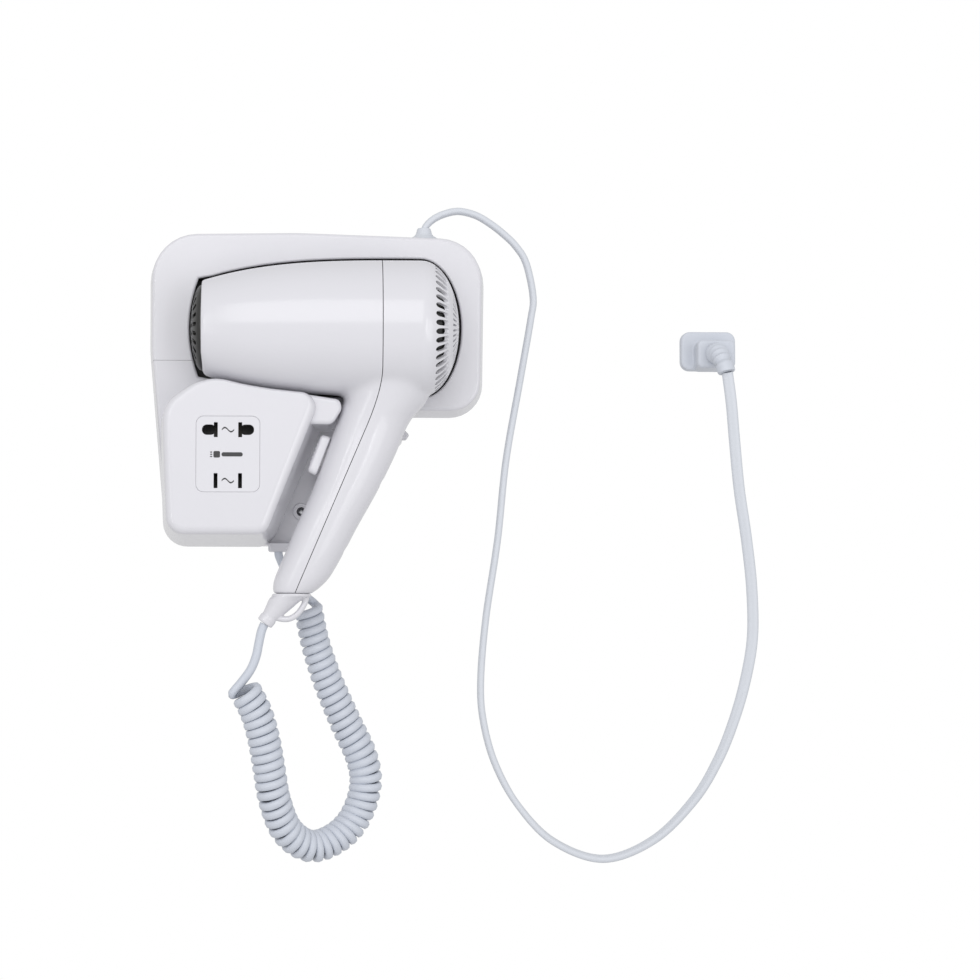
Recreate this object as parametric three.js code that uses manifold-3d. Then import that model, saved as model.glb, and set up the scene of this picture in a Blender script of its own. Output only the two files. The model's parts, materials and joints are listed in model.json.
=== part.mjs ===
// A wall-mounted hotel hair dryer: a holder with a shaver socket, the handset docked in it, its curly cord,
// and a mains cord with a plug.
// Millimetres, +Z up. The wall is the plane y = 0, the user stands at -Y, and the origin is on the wall.
import * as THREE from "three";
import { mergeVertices } from "three/addons/utils/BufferGeometryUtils.js";
import Module from "manifold-3d";

const wasm = await Module();
wasm.setup();

// ---------------------------------------------------------------- driving dimensions
const GAP = 0.3; // clearance between pieces that touch
const SHELL_WALL = 2; // moulded wall of the handset
const COVER_WALL = 2; // moulded wall of the holder's covers

// Handset: a barrel turned round the X direction, and a handle that hangs from it.
const FRAME_DEPTH = 24;
const BARREL_STAND = 21; // the barrel's axis in front of the frame's face
const BARREL_Y = -FRAME_DEPTH - BARREL_STAND;
const BARREL_Z = 29.2;
const BARREL_FRONT = -60;
const NOSE_RADIUS = 24.9;
const TAIL_RADIUS = 36;
const TAPER_POWER = 3.3;
const DOME_START = 55.5;
const DOME_LENGTH = 19.9;
const HANDLE_TILT = THREE.MathUtils.degToRad(23.1);
const ROOT_INSET = 12; // the handle's root is this much shallower than the barrel
const HANDLE_SECTIONS = [
  // height, left side, right side, half depth
  [8, 21, 64, TAIL_RADIUS - ROOT_INSET],
  [-9, 14.6, 58.5, 19],
  [-20, 11.2, 49.5, 16.6],
  [-38.4, 4.7, 41.5, 15.6],
  [-57.7, -2.4, 32, 15],
  [-76.2, -10.6, 21.7, 14.4],
  [-91.7, -16.8, 13.6, 13.6],
  [-102.8, -21.4, 7, 12.4],
  [-108.4, -22.3, 1.4, 11],
  [-110.8, -21.6, -2.4, 10],
];
const SEAM_X = 34.7; // where the front and rear shells meet on the barrel
const SEAM_BEND = [27, -22.6]; // where the seam turns into the handle
const INTAKE_SLOTS = 24;

// Holder.
const FRAME_DRAFT = 4;
const COVER_SEAM = 14;
const PLATE_THICKNESS = 2.6;
const PLATE_INSET = COVER_WALL + 2 * GAP;
const BOX_STAND = 38; // the socket box in front of the frame's face
const BOX_DEPTH = FRAME_DEPTH + BOX_STAND;
const BOX_DRAFT = 4;
const BOX_WALL = 2.2;
const TONGUE_STAND = 33;
const TONGUE_DEPTH = FRAME_DEPTH + TONGUE_STAND;
const CHANNEL_DEPTH = 10;
const SHELF_GAP = 1.2; // between the barrel and the shelf under it
const CRADLE_GAP = 1.4; // round the barrel, seen from the front
const CRADLE_RISE = 2.5; // the recess is centred above the barrel's axis
const CRADLE_LEFT = -67.5;
const LINER_WALL = 1.6;
const SPLIT_X = 14.5; // the covers part here under the barrel
const FRAME_BOTTOM = -14.3;

// Shaver socket.
const PANEL = { x: -45.7, z: -38.6, width: 33.2, height: 39.6, corner: 4, thickness: 2.4 };
const PIN_PITCH = 12.7;
const SLOT = { width: 2, height: 7.8 };
const ROUND_HOLE = { radius: 3.1, reach: 7.4 };
const HOLE_ROWS = [12.7, -13.9]; // above and below the panel's middle

// Speed slider on the handle's front edge.
const KNOB_TILT = THREE.MathUtils.degToRad(21);
const KNOB = { x: 4.6, z: -38.9, length: 21, width: 9, height: 5.4, travel: 8 };

// Cords.
const MAINS_CORD = { width: 6, thick: 3.9 };
const CURLY_STRAND = 4.7;
const CURLY_COIL = 17.8;

const COLOUR = {
  white: 0xeceaf0,
  blueWhite: 0xdde3ec,
  black: 0x242423,
  grey: 0x8d8f94,
  mica: 0xb9a98a,
  steel: 0xb8babd,
  copper: 0xb06a3a,
  brass: 0xc8a24c,
  nichrome: 0x77716c,
  board: 0x2f6b45,
};

// ---------------------------------------------------------------- helpers
const material = (color, roughness = 0.35, metalness = 0) =>
  new THREE.MeshStandardMaterial({ color, roughness, metalness });

const gloss = material(COLOUR.white, 0.25);
const rubber = material(COLOUR.blueWhite, 0.5);
const black = material(COLOUR.black, 0.45);
const grey = material(COLOUR.grey, 0.6);
const mica = material(COLOUR.mica, 0.7);
const steel = material(COLOUR.steel, 0.35, 1);
const copper = material(COLOUR.copper, 0.4, 1);
const brass = material(COLOUR.brass, 0.3, 1);
const nichrome = material(COLOUR.nichrome, 0.5, 1);
const board = material(COLOUR.board, 0.5);

function solid(geometry) {
  const bare = geometry.clone();
  bare.deleteAttribute("normal");
  bare.deleteAttribute("uv");
  const merged = mergeVertices(bare, 1e-4);
  return new wasm.Manifold(
    new wasm.Mesh({
      numProp: 3,
      vertProperties: merged.attributes.position.array,
      triVerts: new Uint32Array(merged.index.array),
    }),
  );
}

function geometryOf(manifold) {
  const made = manifold.getMesh();
  return new THREE.BufferGeometry()
    .setAttribute("position", new THREE.BufferAttribute(made.vertProperties, 3))
    .setIndex(new THREE.BufferAttribute(made.triVerts, 1));
}

function add(group, name, shape, look) {
  const geometry = shape.isBufferGeometry ? shape : geometryOf(shape);
  geometry.computeVertexNormals();
  const mesh = new THREE.Mesh(geometry, look);
  mesh.name = name;
  group.add(mesh);
  return mesh;
}

const CORNER_STEPS = 5;

// Points of a closed outline with rounded corners, from [x, z, radius] listed anticlockwise.
// grow moves every side outwards.
function cornerPoints(corners, grow = 0) {
  const count = corners.length;
  const sideFrom = (i) => {
    const [ax, az] = corners[(i + count) % count];
    const [bx, bz] = corners[(i + 1) % count];
    const along = new THREE.Vector2(bx - ax, bz - az).normalize();
    return { point: new THREE.Vector2(ax + along.y * grow, az - along.x * grow), along };
  };
  return corners.flatMap((_, i) => {
    const before = sideFrom(i - 1 < 0 ? count - 1 : i - 1);
    const after = sideFrom(i);
    const turn = before.along.cross(after.along);
    const radius = Math.max(corners[i][2] + grow * Math.sign(turn), 0.2);
    const reach = after.point.clone().sub(before.point).cross(after.along) / turn;
    const corner = before.point.clone().addScaledVector(before.along, reach);
    const angle = Math.acos(before.along.dot(after.along)) * Math.sign(turn);
    const start = corner.addScaledVector(before.along, -radius * Math.abs(Math.tan(angle / 2)));
    const spoke = new THREE.Vector2(before.along.y, -before.along.x).multiplyScalar(radius * Math.sign(turn));
    const centre = start.clone().sub(spoke);
    return Array.from({ length: CORNER_STEPS }, (_, k) =>
      spoke.clone().rotateAround(new THREE.Vector2(), (angle * k) / (CORNER_STEPS - 1)).add(centre),
    );
  });
}

const outline = (corners, grow) => new THREE.Shape(cornerPoints(corners, grow));

const rectangle = (x, z, width, height, corner) => [
  [x - width / 2, z - height / 2, corner],
  [x + width / 2, z - height / 2, corner],
  [x + width / 2, z + height / 2, corner],
  [x - width / 2, z + height / 2, corner],
];

const polygon = (points) => new THREE.Shape(points.map(([x, z]) => new THREE.Vector2(x, z)));

// An outline in X and Z, as a plate from y = back to y = front, where front is the lower value.
function plate(shape, back, front, curveSegments = 3) {
  const depth = back - front;
  const geometry = new THREE.ExtrudeGeometry(shape, { depth, bevelEnabled: false, curveSegments });
  return solid(geometry.rotateX(Math.PI / 2).translate(0, back, 0));
}

// The same from rounded corners, with sides that lean in by draft on their way to the front.
function drafted(corners, back, front, draft, grow = 0) {
  const root = cornerPoints(corners, grow);
  const tip = cornerPoints(corners, grow - draft);
  const depth = back - front;
  const geometry = new THREE.ExtrudeGeometry(new THREE.Shape(root), { depth, bevelEnabled: false });
  const position = geometry.attributes.position;
  const here = new THREE.Vector2();
  for (let i = 0; i < position.count; i++) {
    if (position.getZ(i) < depth / 2) continue;
    here.set(position.getX(i), position.getY(i));
    const gaps = root.map((p) => p.distanceToSquared(here));
    const { x, y } = tip[gaps.indexOf(Math.min(...gaps))];
    position.setXY(i, x, y);
  }
  return solid(geometry.rotateX(Math.PI / 2).translate(0, back, 0));
}

function block([x0, x1], [y0, y1], [z0, z1]) {
  const geometry = new THREE.BoxGeometry(x1 - x0, y1 - y0, z1 - z0);
  return solid(geometry.translate((x0 + x1) / 2, (y0 + y1) / 2, (z0 + z1) / 2));
}

const box = (size, centre = [0, 0, 0]) => new THREE.BoxGeometry(...size).translate(...centre);

// A rod along X, Y or Z round the given middle.
function rod(radius, length, axis, middle, sides = 20) {
  const geometry = new THREE.CylinderGeometry(radius, radius, length, sides);
  if (axis === "x") geometry.rotateZ(-Math.PI / 2);
  if (axis === "z") geometry.rotateX(Math.PI / 2);
  return geometry.translate(...middle);
}

// A solid turned round the X direction from [x, radius] points, the outer surface first.
function turned(points, sides = 36) {
  const profile = points.map(([x, radius]) => new THREE.Vector2(radius, x));
  return new THREE.LatheGeometry(profile, sides).rotateZ(-Math.PI / 2);
}

// A stack of ovals, from the top down, each { x, z, tilt, wide, deep } round the handset's middle plane.
function loft(ovals, sides = 18) {
  const last = ovals.length - 1;
  const geometry = new THREE.CylinderGeometry(1, 1, 1, sides, last);
  const position = geometry.attributes.position;
  for (let i = 0; i < position.count; i++) {
    const oval = ovals[Math.round((0.5 - position.getY(i)) * last)];
    const across = position.getX(i) * oval.wide;
    const tilt = oval.tilt ?? 0;
    position.setXYZ(
      i,
      oval.x + across * Math.cos(tilt),
      BARREL_Y - position.getZ(i) * oval.deep,
      oval.z - across * Math.sin(tilt),
    );
  }
  return solid(geometry);
}

const part = new THREE.Group();
const holder = new THREE.Group();
const handset = new THREE.Group();
part.add(holder, handset);

// ---------------------------------------------------------------- handset shells
function barrelRadius(x, wall = 0) {
  if (x <= DOME_START) {
    const share = (DOME_START - x) / (DOME_START - BARREL_FRONT);
    return TAIL_RADIUS - (TAIL_RADIUS - NOSE_RADIUS) * share ** TAPER_POWER - wall;
  }
  const along = (x - DOME_START) / (DOME_LENGTH - wall);
  return (TAIL_RADIUS - wall) * Math.sqrt(Math.max(0, 1 - along * along));
}

// The barrel as a full body, its sides wall inside the outer surface.
function barrelBody(wall, front) {
  const points = [[front, 0]];
  const steps = 6;
  for (let i = 0; i <= steps; i++) {
    const x = THREE.MathUtils.lerp(front, DOME_START, i / steps);
    points.push([x, barrelRadius(x, wall)]);
  }
  for (const turn of [18, 36, 54, 72]) {
    const angle = THREE.MathUtils.degToRad(turn);
    const x = DOME_START + (DOME_LENGTH - wall) * Math.sin(angle);
    points.push([x, (TAIL_RADIUS - wall) * Math.cos(angle)]);
  }
  points.push([DOME_START + DOME_LENGTH - wall, 0]);
  return solid(turned(points).translate(0, BARREL_Y, BARREL_Z));
}

function handleBody(wall) {
  const ovals = HANDLE_SECTIONS.map(([z, left, right, deep]) => ({
    x: (left + right) / 2,
    z,
    wide: (right - left) / 2 - wall / Math.cos(HANDLE_TILT),
    deep: deep - wall,
  }));
  ovals.at(-1).z += wall;
  return loft(ovals);
}

const handleSide = (height, side) => {
  const below = HANDLE_SECTIONS.findIndex(([z]) => z <= height);
  const [z1, ...low] = HANDLE_SECTIONS[below];
  const [z0, ...high] = HANDLE_SECTIONS[below - 1];
  return THREE.MathUtils.mapLinear(height, z0, z1, high[side], low[side]);
};

// Everything in front of the shells' seam, moved back from it by clear.
function frontOfSeam(clear) {
  const shape = new THREE.Shape();
  const [bendX, bendZ] = SEAM_BEND;
  const foot = -140;
  shape.moveTo(-120, foot);
  shape.lineTo(bendX + (foot - bendZ) * Math.tan(HANDLE_TILT) - clear, foot);
  shape.lineTo(bendX - clear, bendZ);
  shape.quadraticCurveTo(SEAM_X - clear, -4, SEAM_X - clear, 6);
  shape.lineTo(SEAM_X - clear, 90);
  shape.lineTo(-120, 90);
  return plate(shape, 10, -110, 4);
}

const BOOT_HOLE = { x: -12, radius: 4 };
const outer = barrelBody(0, BARREL_FRONT).add(handleBody(0));
const hollow = barrelBody(SHELL_WALL, BARREL_FRONT - 1).add(handleBody(SHELL_WALL));
const cordHole = solid(rod(BOOT_HOLE.radius, 20, "z", [BOOT_HOLE.x, BARREL_Y, -112]));
const casing = outer.subtract(hollow).subtract(cordHole);

// A frame whose Z runs up along the slider and whose -X points out of the handle.
const slider = new THREE.Group();
slider.position.set(KNOB.x, BARREL_Y, KNOB.z);
slider.rotation.y = KNOB_TILT;
slider.updateMatrix();
const inSlider = (geometry) => solid(geometry.applyMatrix4(slider.matrix));
const STEM = { width: 3, length: 12, depth: 7 };
const sliderSlot = inSlider(
  box([12, STEM.width + 1, STEM.length + KNOB.travel + 1], [2, 0, -KNOB.travel / 2]),
);

const SCREW = { head: 2.8, shank: 1.4, length: 12, sink: 3 };
const handsetScrews = [-52, -88].map((height) => ({
  x: handleSide(height, 1),
  z: height,
}));
// A countersunk hole through the rear shell, square to the handle.
function screwHole({ x, z }) {
  const hole = rod(SCREW.head + GAP, 2 * SCREW.sink, "x", [0, 0, 0]);
  return solid(hole.rotateY(HANDLE_TILT).translate(x, BARREL_Y, z));
}

const frontShell = casing.intersect(frontOfSeam(0.2)).subtract(sliderSlot);
let rearShell = casing.subtract(frontOfSeam(-0.2));
for (let i = 0; i < INTAKE_SLOTS; i++) {
  const slot = box([18, 3, 9.5], [DOME_START + 13.5, 0, 26.5]);
  slot.rotateX((2 * Math.PI * i) / INTAKE_SLOTS).translate(0, BARREL_Y, BARREL_Z);
  rearShell = rearShell.subtract(solid(slot));
}
for (const screw of handsetScrews) rearShell = rearShell.subtract(screwHole(screw));
add(handset, "front_shell", frontShell, gloss);
add(handset, "rear_shell", rearShell, gloss);

handsetScrews.forEach(({ x, z }, i) => {
  const head = solid(rod(SCREW.head, 2, "x", [-SCREW.sink - 1.2, 0, 0], 16));
  const shank = solid(rod(SCREW.shank, SCREW.length, "x", [-SCREW.sink - SCREW.length / 2, 0, 0], 10));
  const screw = add(handset, "handset_screw_" + (i + 1), head.add(shank), steel);
  screw.position.set(x, BARREL_Y, z);
  screw.rotation.y = HANDLE_TILT;
});

// ---------------------------------------------------------------- inside the barrel
const barrel = new THREE.Group();
barrel.position.set(0, BARREL_Y, BARREL_Z);
handset.add(barrel);

const OUTLET = { rise: 6, wall: 1.4, skirt: 7, slots: 12, slotWidth: 3, rib: 1.4 };
OUTLET.radius = barrelRadius(BARREL_FRONT, SHELL_WALL + GAP);
function outletGrille() {
  const { radius, rise, wall, skirt, slots, slotWidth, rib } = OUTLET;
  const front = BARREL_FRONT - rise;
  let grille = solid(
    turned([
      [front, 0],
      [front + 0.8, radius * 0.5],
      [front + 3, radius * 0.85],
      [BARREL_FRONT, radius],
      [BARREL_FRONT + skirt, radius],
      [BARREL_FRONT + skirt, radius - wall],
      [BARREL_FRONT, radius - wall],
      [front + 3 + wall, radius * 0.85 - wall],
      [front + 0.8 + wall, radius * 0.5],
      [front + wall, 0],
    ], 24),
  );
  // The slots start where the ribs between them have their full width.
  const inner = (slots * (slotWidth + rib)) / (2 * Math.PI);
  const outer = radius * 0.87;
  for (let i = 0; i < slots; i++) {
    const slot = box([16, slotWidth, outer - inner], [BARREL_FRONT, 0, (outer + inner) / 2]);
    grille = grille.subtract(solid(slot.rotateX((2 * Math.PI * i) / slots)));
  }
  return grille;
}
add(barrel, "outlet_grille", outletGrille(), black);

const HEATER = { front: -50, back: -12, core: 17.6, wire: 1.2, coilRadius: 19, turns: 5 };
const heaterLength = HEATER.back - HEATER.front;
const heaterMiddle = (HEATER.back + HEATER.front) / 2;
add(
  barrel,
  "heater_former",
  solid(box([heaterLength, 1, 2 * HEATER.core], [heaterMiddle, 0, 0])).add(
    solid(box([heaterLength, 2 * HEATER.core, 1], [heaterMiddle, 0, 0])),
  ),
  mica,
);

class Helix extends THREE.Curve {
  constructor(radius, start, end, turns) {
    super();
    Object.assign(this, { radius, start, end, turns });
  }
  getPoint(t, target = new THREE.Vector3()) {
    const angle = 2 * Math.PI * this.turns * t;
    const x = THREE.MathUtils.lerp(this.start, this.end, t);
    return target.set(x, this.radius * Math.cos(angle), this.radius * Math.sin(angle));
  }
}

const ovalShape = (wide, high) => new THREE.Shape().absellipse(0, 0, wide / 2, high / 2, 0, 2 * Math.PI);
const tube = (curve, shape, steps, curveSegments = 4) =>
  new THREE.ExtrudeGeometry(shape, { extrudePath: curve, steps, bevelEnabled: false, curveSegments });

add(
  barrel,
  "heater_coil",
  tube(
    new Helix(HEATER.coilRadius, HEATER.front + 4, HEATER.back - 4, HEATER.turns),
    ovalShape(HEATER.wire, HEATER.wire),
    14 * HEATER.turns,
    2,
  ),
  nichrome,
);

const SLEEVE_RADIUS = HEATER.coilRadius + 2;
add(
  barrel,
  "mica_sleeve",
  turned(
    [
      [HEATER.front, SLEEVE_RADIUS + 0.5],
      [HEATER.back, SLEEVE_RADIUS + 0.5],
      [HEATER.back, SLEEVE_RADIUS],
      [HEATER.front, SLEEVE_RADIUS],
      [HEATER.front, SLEEVE_RADIUS + 0.5],
    ],
    24,
  ),
  mica,
);
const THERMOSTAT = { length: 9, side: 5 };
add(
  barrel,
  "thermostat",
  box(
    [THERMOSTAT.length, THERMOSTAT.side, THERMOSTAT.side],
    [heaterMiddle, THERMOSTAT.side, THERMOSTAT.side],
  ),
  steel,
);

const MOTOR = { radius: 12, front: -7, back: 15, bore: 2.2, shaft: 1.5 };
const INNER_CLEARANCE = 1; // between the barrel's wall and what stands in it
const INNER_RADIUS = TAIL_RADIUS - SHELL_WALL - INNER_CLEARANCE;
const GUIDE = { radius: INNER_RADIUS, wall: 1.4, front: 2, back: 33, vanes: 7 };
const FAN = { front: 19, back: 31, hub: 9.5, clearance: 1.6, blades: 7 };
FAN.tip = GUIDE.radius - GUIDE.wall - FAN.clearance;
const hub = MOTOR.radius + GAP;
let guide = solid(
  turned([
    [GUIDE.front, GUIDE.radius],
    [GUIDE.back, GUIDE.radius],
    [GUIDE.back, GUIDE.radius - GUIDE.wall],
    [GUIDE.front, GUIDE.radius - GUIDE.wall],
    [GUIDE.front, GUIDE.radius],
  ]),
).add(
  solid(
    turned(
      [
        [GUIDE.front, hub + GUIDE.wall],
        [MOTOR.back - 3, hub + GUIDE.wall],
        [MOTOR.back - 3, hub],
        [GUIDE.front, hub],
        [GUIDE.front, hub + GUIDE.wall],
      ],
      24,
    ),
  ),
);
for (let i = 0; i < GUIDE.vanes; i++) {
  const inner = hub + GUIDE.wall / 2;
  const reach = GUIDE.radius - GUIDE.wall / 2 - inner;
  const vane = box([9, 1.2, reach]).rotateZ(0.35).translate(GUIDE.front + 5, 0, inner + reach / 2);
  guide = guide.add(solid(vane.rotateX((2 * Math.PI * i) / GUIDE.vanes)));
}
add(barrel, "fan_guide", guide, grey);
add(
  barrel,
  "motor_can",
  turned(
    [
      [MOTOR.front, MOTOR.bore],
      [MOTOR.front, MOTOR.radius],
      [MOTOR.back, MOTOR.radius],
      [MOTOR.back, MOTOR.bore],
      [MOTOR.front, MOTOR.bore],
    ],
    24,
  ),
  steel,
);
add(
  barrel,
  "motor_end_cap",
  rod(MOTOR.radius * 0.8, 2.4, "x", [MOTOR.front - GAP - 1.2, 0, 0]),
  black,
);
add(
  barrel,
  "motor_shaft",
  rod(MOTOR.shaft, FAN.back - MOTOR.front, "x", [(FAN.back + MOTOR.front) / 2, 0, 0], 12),
  steel,
);
let impeller = solid(
  turned(
    [
      [FAN.front, MOTOR.shaft + GAP],
      [FAN.front, FAN.hub],
      [FAN.back - 2, FAN.hub],
      [FAN.back, FAN.hub - 3],
      [FAN.back, MOTOR.shaft + GAP],
      [FAN.front, MOTOR.shaft + GAP],
    ],
    21,
  ),
);
for (let i = 0; i < FAN.blades; i++) {
  const reach = FAN.tip - FAN.hub + 1;
  const blade = box([9, 1.2, reach]).rotateZ(-0.7);
  blade.translate((FAN.front + FAN.back) / 2, 0, FAN.hub - 1 + reach / 2);
  impeller = impeller.add(solid(blade.rotateX((2 * Math.PI * i) / FAN.blades)));
}
add(barrel, "fan_impeller", impeller, grey);

// A dish of mesh behind the intake slots, from its rim to near its middle.
const SCREEN = { wall: 0.8, rim: INNER_RADIUS, gap: 0.6 };
const screenDish = (radius, shift) =>
  [20, 35, 55, 75].map((turn) => {
    const angle = THREE.MathUtils.degToRad(turn);
    const depth = (DOME_LENGTH * SCREEN.rim) / TAIL_RADIUS;
    return [DOME_START + depth * Math.sin(angle) - shift, radius * Math.cos(angle)];
  });
const screenFront = screenDish(SCREEN.rim, SCREEN.gap);
const screenBack = screenDish(SCREEN.rim - SCREEN.wall, SCREEN.gap + SCREEN.wall).reverse();
add(barrel, "intake_screen", turned([...screenFront, ...screenBack, screenFront[0]], 24), black);

// ---------------------------------------------------------------- inside the handle and on it
// The grip's frame has its Z up along the handle, with its origin in the middle of the handle.
const GRIP = { x: 14.4, z: -60 };
const BOARD = { width: 14, thick: 1.6, length: 24, place: [0.5, 4, -12] };
const CLAMP = { width: 12, depth: 5, height: 4, place: [-6, 0, -38] };
const grip = new THREE.Group();
grip.position.set(GRIP.x, BARREL_Y, GRIP.z);
grip.rotation.y = HANDLE_TILT;
handset.add(grip);
add(grip, "rectifier_board", box([BOARD.width, BOARD.thick, BOARD.length], BOARD.place), board);
add(grip, "cord_clamp", box([CLAMP.width, CLAMP.depth, CLAMP.height], CLAMP.place), grey);
handset.add(slider);
add(slider, "speed_switch_body", box([8, 10, 26], [12, 0, 0]), black);
const knobTop = box([KNOB.height - 0.5, KNOB.width, KNOB.length], [-(KNOB.height + 0.5) / 2, 0, 0]);
const knobStem = box([STEM.depth, STEM.width, STEM.length - 1], [STEM.depth / 2 - 1.5, 0, 0]);
add(slider, "speed_knob", solid(knobTop).add(solid(knobStem)), gloss);

const BOOT_TILT = THREE.MathUtils.degToRad(36);
const BOOT_END = { x: -24.4, z: -123.4, radius: 3.8 };
const COLLAR = { radius: 4.2, length: 3.6 };
function handleBoot() {
  const top = -110.8 - GAP;
  const body = loft([
    { x: -12, z: top, wide: 9.7, deep: 9.2 },
    { x: -15.2, z: top - 3.6, wide: 8.6, deep: 8.2, tilt: BOOT_TILT * 0.6 },
    { x: -20.2, z: -118, wide: 5.6, deep: 5.6, tilt: BOOT_TILT },
    { x: BOOT_END.x, z: BOOT_END.z, wide: BOOT_END.radius, deep: BOOT_END.radius, tilt: BOOT_TILT },
  ]);
  const collar = rod(COLLAR.radius, COLLAR.length, "z", [0, 0, -COLLAR.length / 2 + 0.4], 16);
  collar.rotateY(BOOT_TILT).translate(BOOT_END.x, BARREL_Y, BOOT_END.z);
  const stem = rod(BOOT_HOLE.radius - GAP, 8, "z", [BOOT_HOLE.x, BARREL_Y, top + 3.5]);
  const loop = new THREE.Shape();
  loop.moveTo(-14, top - 0.6);
  loop.lineTo(-22, -122);
  loop.quadraticCurveTo(-17.6, -126.4, -12.4, -125.4);
  loop.quadraticCurveTo(-4.4, -123.4, -2.6, top - 0.6);
  const eye = new THREE.Path();
  eye.moveTo(-7.4, -115.4);
  eye.lineTo(-16, -121.6);
  eye.quadraticCurveTo(-9.4, -122.4, -7.4, -115.4);
  loop.holes.push(eye);
  return body
    .add(solid(collar))
    .add(solid(stem))
    .add(plate(loop, BARREL_Y + 2, BARREL_Y - 2, 5));
}
add(handset, "handle_boot", handleBoot(), gloss);

// ---------------------------------------------------------------- holder outlines
const HOLDER = [
  [-80.3, -84, 14],
  [-30, -84, 5],
  [-12, FRAME_BOTTOM, 6],
  [89.5, FRAME_BOTTOM, 18],
  [90.8, 81.6, 25],
  [-10, 84.8, 200],
  [-89.3, 83.6, 26],
  [-89.2, 20, 100],
];
const CHANNEL_FLOOR = [
  [-80.3, -84, 14],
  [-4, -84, 5],
  [46.4, -28, 3],
  [46.4, FRAME_BOTTOM - 0.4, 2],
  [-84.6, FRAME_BOTTOM - 0.4, 2],
];
const LUG = [
  [44.5, -26.8, 1],
  [48.4, -26.8, 1],
  [50.2, -24.2, 1],
  [46.8, -20.6, 1],
  [44.5, -20.6, 1],
];
const shelfHeight = (x) => BARREL_Z - barrelRadius(x) - SHELF_GAP;
const SHELF_STEPS = [-6, -20, -34, -48];
const SHELF_END = -60;
// The box's corners; its top is cut down to the shelf afterwards.
const BOX = [
  [-77.2, -80.1, 9],
  [-26.3, -80.2, 7],
  [3, shelfHeight(3) + 1, 10],
  [SHELF_END + 4, shelfHeight(SHELF_END) + 1, 30],
  [-79.8, shelfHeight(SHELF_END), 15],
  [-79.4, -29.6, 60],
];
const TONGUE = [
  [-6, -22.4, 2],
  [handleSide(-22.4, 0) - 0.9, -22.4, 3],
  [handleSide(-15, 0) - 0.9, -15, 4],
  [handleSide(-8.8, 0) - 1.6, -8.8, 3],
  [-6, -8.8, 2],
];

// The dryer-shaped recess in the frame: the barrel's outline with a gap round it.
function recess(grow = 0) {
  const middle = BARREL_Z + CRADLE_RISE;
  const gap = CRADLE_GAP + grow;
  const shape = new THREE.Shape();
  const corner = BARREL_FRONT - 2.6 - grow;
  const cornerHeight = barrelRadius(BARREL_FRONT) + gap;
  const stations = [-40, -15, 15, 40, DOME_START];
  const bulge = 2 * (CRADLE_LEFT - grow) - corner;
  shape.moveTo(corner, middle + cornerHeight);
  shape.quadraticCurveTo(bulge, middle, corner, middle - cornerHeight);
  for (const x of stations) shape.lineTo(x, middle - barrelRadius(x) - gap);
  const dome = DOME_LENGTH + gap + 0.7;
  shape.absellipse(DOME_START, middle, dome, TAIL_RADIUS + gap, -Math.PI / 2, Math.PI / 2, false);
  for (const x of stations.slice(0, -1).reverse()) shape.lineTo(x, middle + barrelRadius(x) + gap);
  return shape;
}

// Everything under the shelf that the barrel lies on.
function underShelf(drop) {
  const points = SHELF_STEPS.map((x) => [x, shelfHeight(x) - drop]);
  return polygon([
    [-120, -120],
    [120, -120],
    [120, shelfHeight(6) - drop],
    [6, shelfHeight(6) - drop],
    ...points,
    [SHELF_END, shelfHeight(SHELF_END) - drop],
    [SHELF_END - drop, 20 - drop],
    [-120, 20 - drop],
  ]);
}

// The upper cover's share of the frame; clear is half of the gap at the seam.
const upperShare = (clear) =>
  polygon([
    [-120, COVER_SEAM + clear],
    [SPLIT_X + clear, COVER_SEAM + clear],
    [SPLIT_X + clear, FRAME_BOTTOM - 1],
    [120, FRAME_BOTTOM - 1],
    [120, 120],
    [-120, 120],
  ]);

// ---------------------------------------------------------------- holder covers, liner and plate
const MAINS_GLAND = { x: 57.8, y: -12, radius: 6.4, foot: 75, top: 83.2, lip: 4.6 };
const CURLY_GLAND = { x: -19.7, y: -14, radius: 4, foot: -86.6, top: -78 };
const CHANNEL_SCREW = { x: -7.8, z: -65.8, boss: 4, hole: 2.4 };

// The plate inside the covers' rims, with its sides grow further out.
const PLATE_BRIDGE = [
  [-20, -24, 1],
  [38, -24, 1],
  [38, -6, 1],
  [-20, -6, 1],
];
const backPlate = (grow, back, front) =>
  plate(outline(HOLDER, grow - PLATE_INSET), back, front)
    .add(plate(outline(CHANNEL_FLOOR, grow - PLATE_INSET), back, front))
    .add(plate(outline(PLATE_BRIDGE, grow), back, front));
const plateRoom = backPlate(GAP, 1, -PLATE_THICKNESS - GAP);

const frame = drafted(HOLDER, 0, -FRAME_DEPTH, FRAME_DRAFT);
const frameHollow = drafted(HOLDER, 0.5, COVER_WALL - FRAME_DEPTH, FRAME_DRAFT, -COVER_WALL);
const opening = plate(recess(), 1, -FRAME_DEPTH - 1);
const linerRoom = plate(recess(LINER_WALL + 2 * GAP), 1, COVER_WALL - FRAME_DEPTH);
const glandHole = solid(
  rod(MAINS_GLAND.radius + GAP, 30, "z", [MAINS_GLAND.x, MAINS_GLAND.y, MAINS_GLAND.top]),
);
const upperCover = frame
  .intersect(plate(upperShare(0.2), 1, -FRAME_DEPTH - 1))
  .subtract(frameHollow)
  .subtract(linerRoom)
  .subtract(opening)
  .subtract(plateRoom)
  .subtract(glandHole);
add(holder, "upper_cover", upperCover, gloss);

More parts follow.
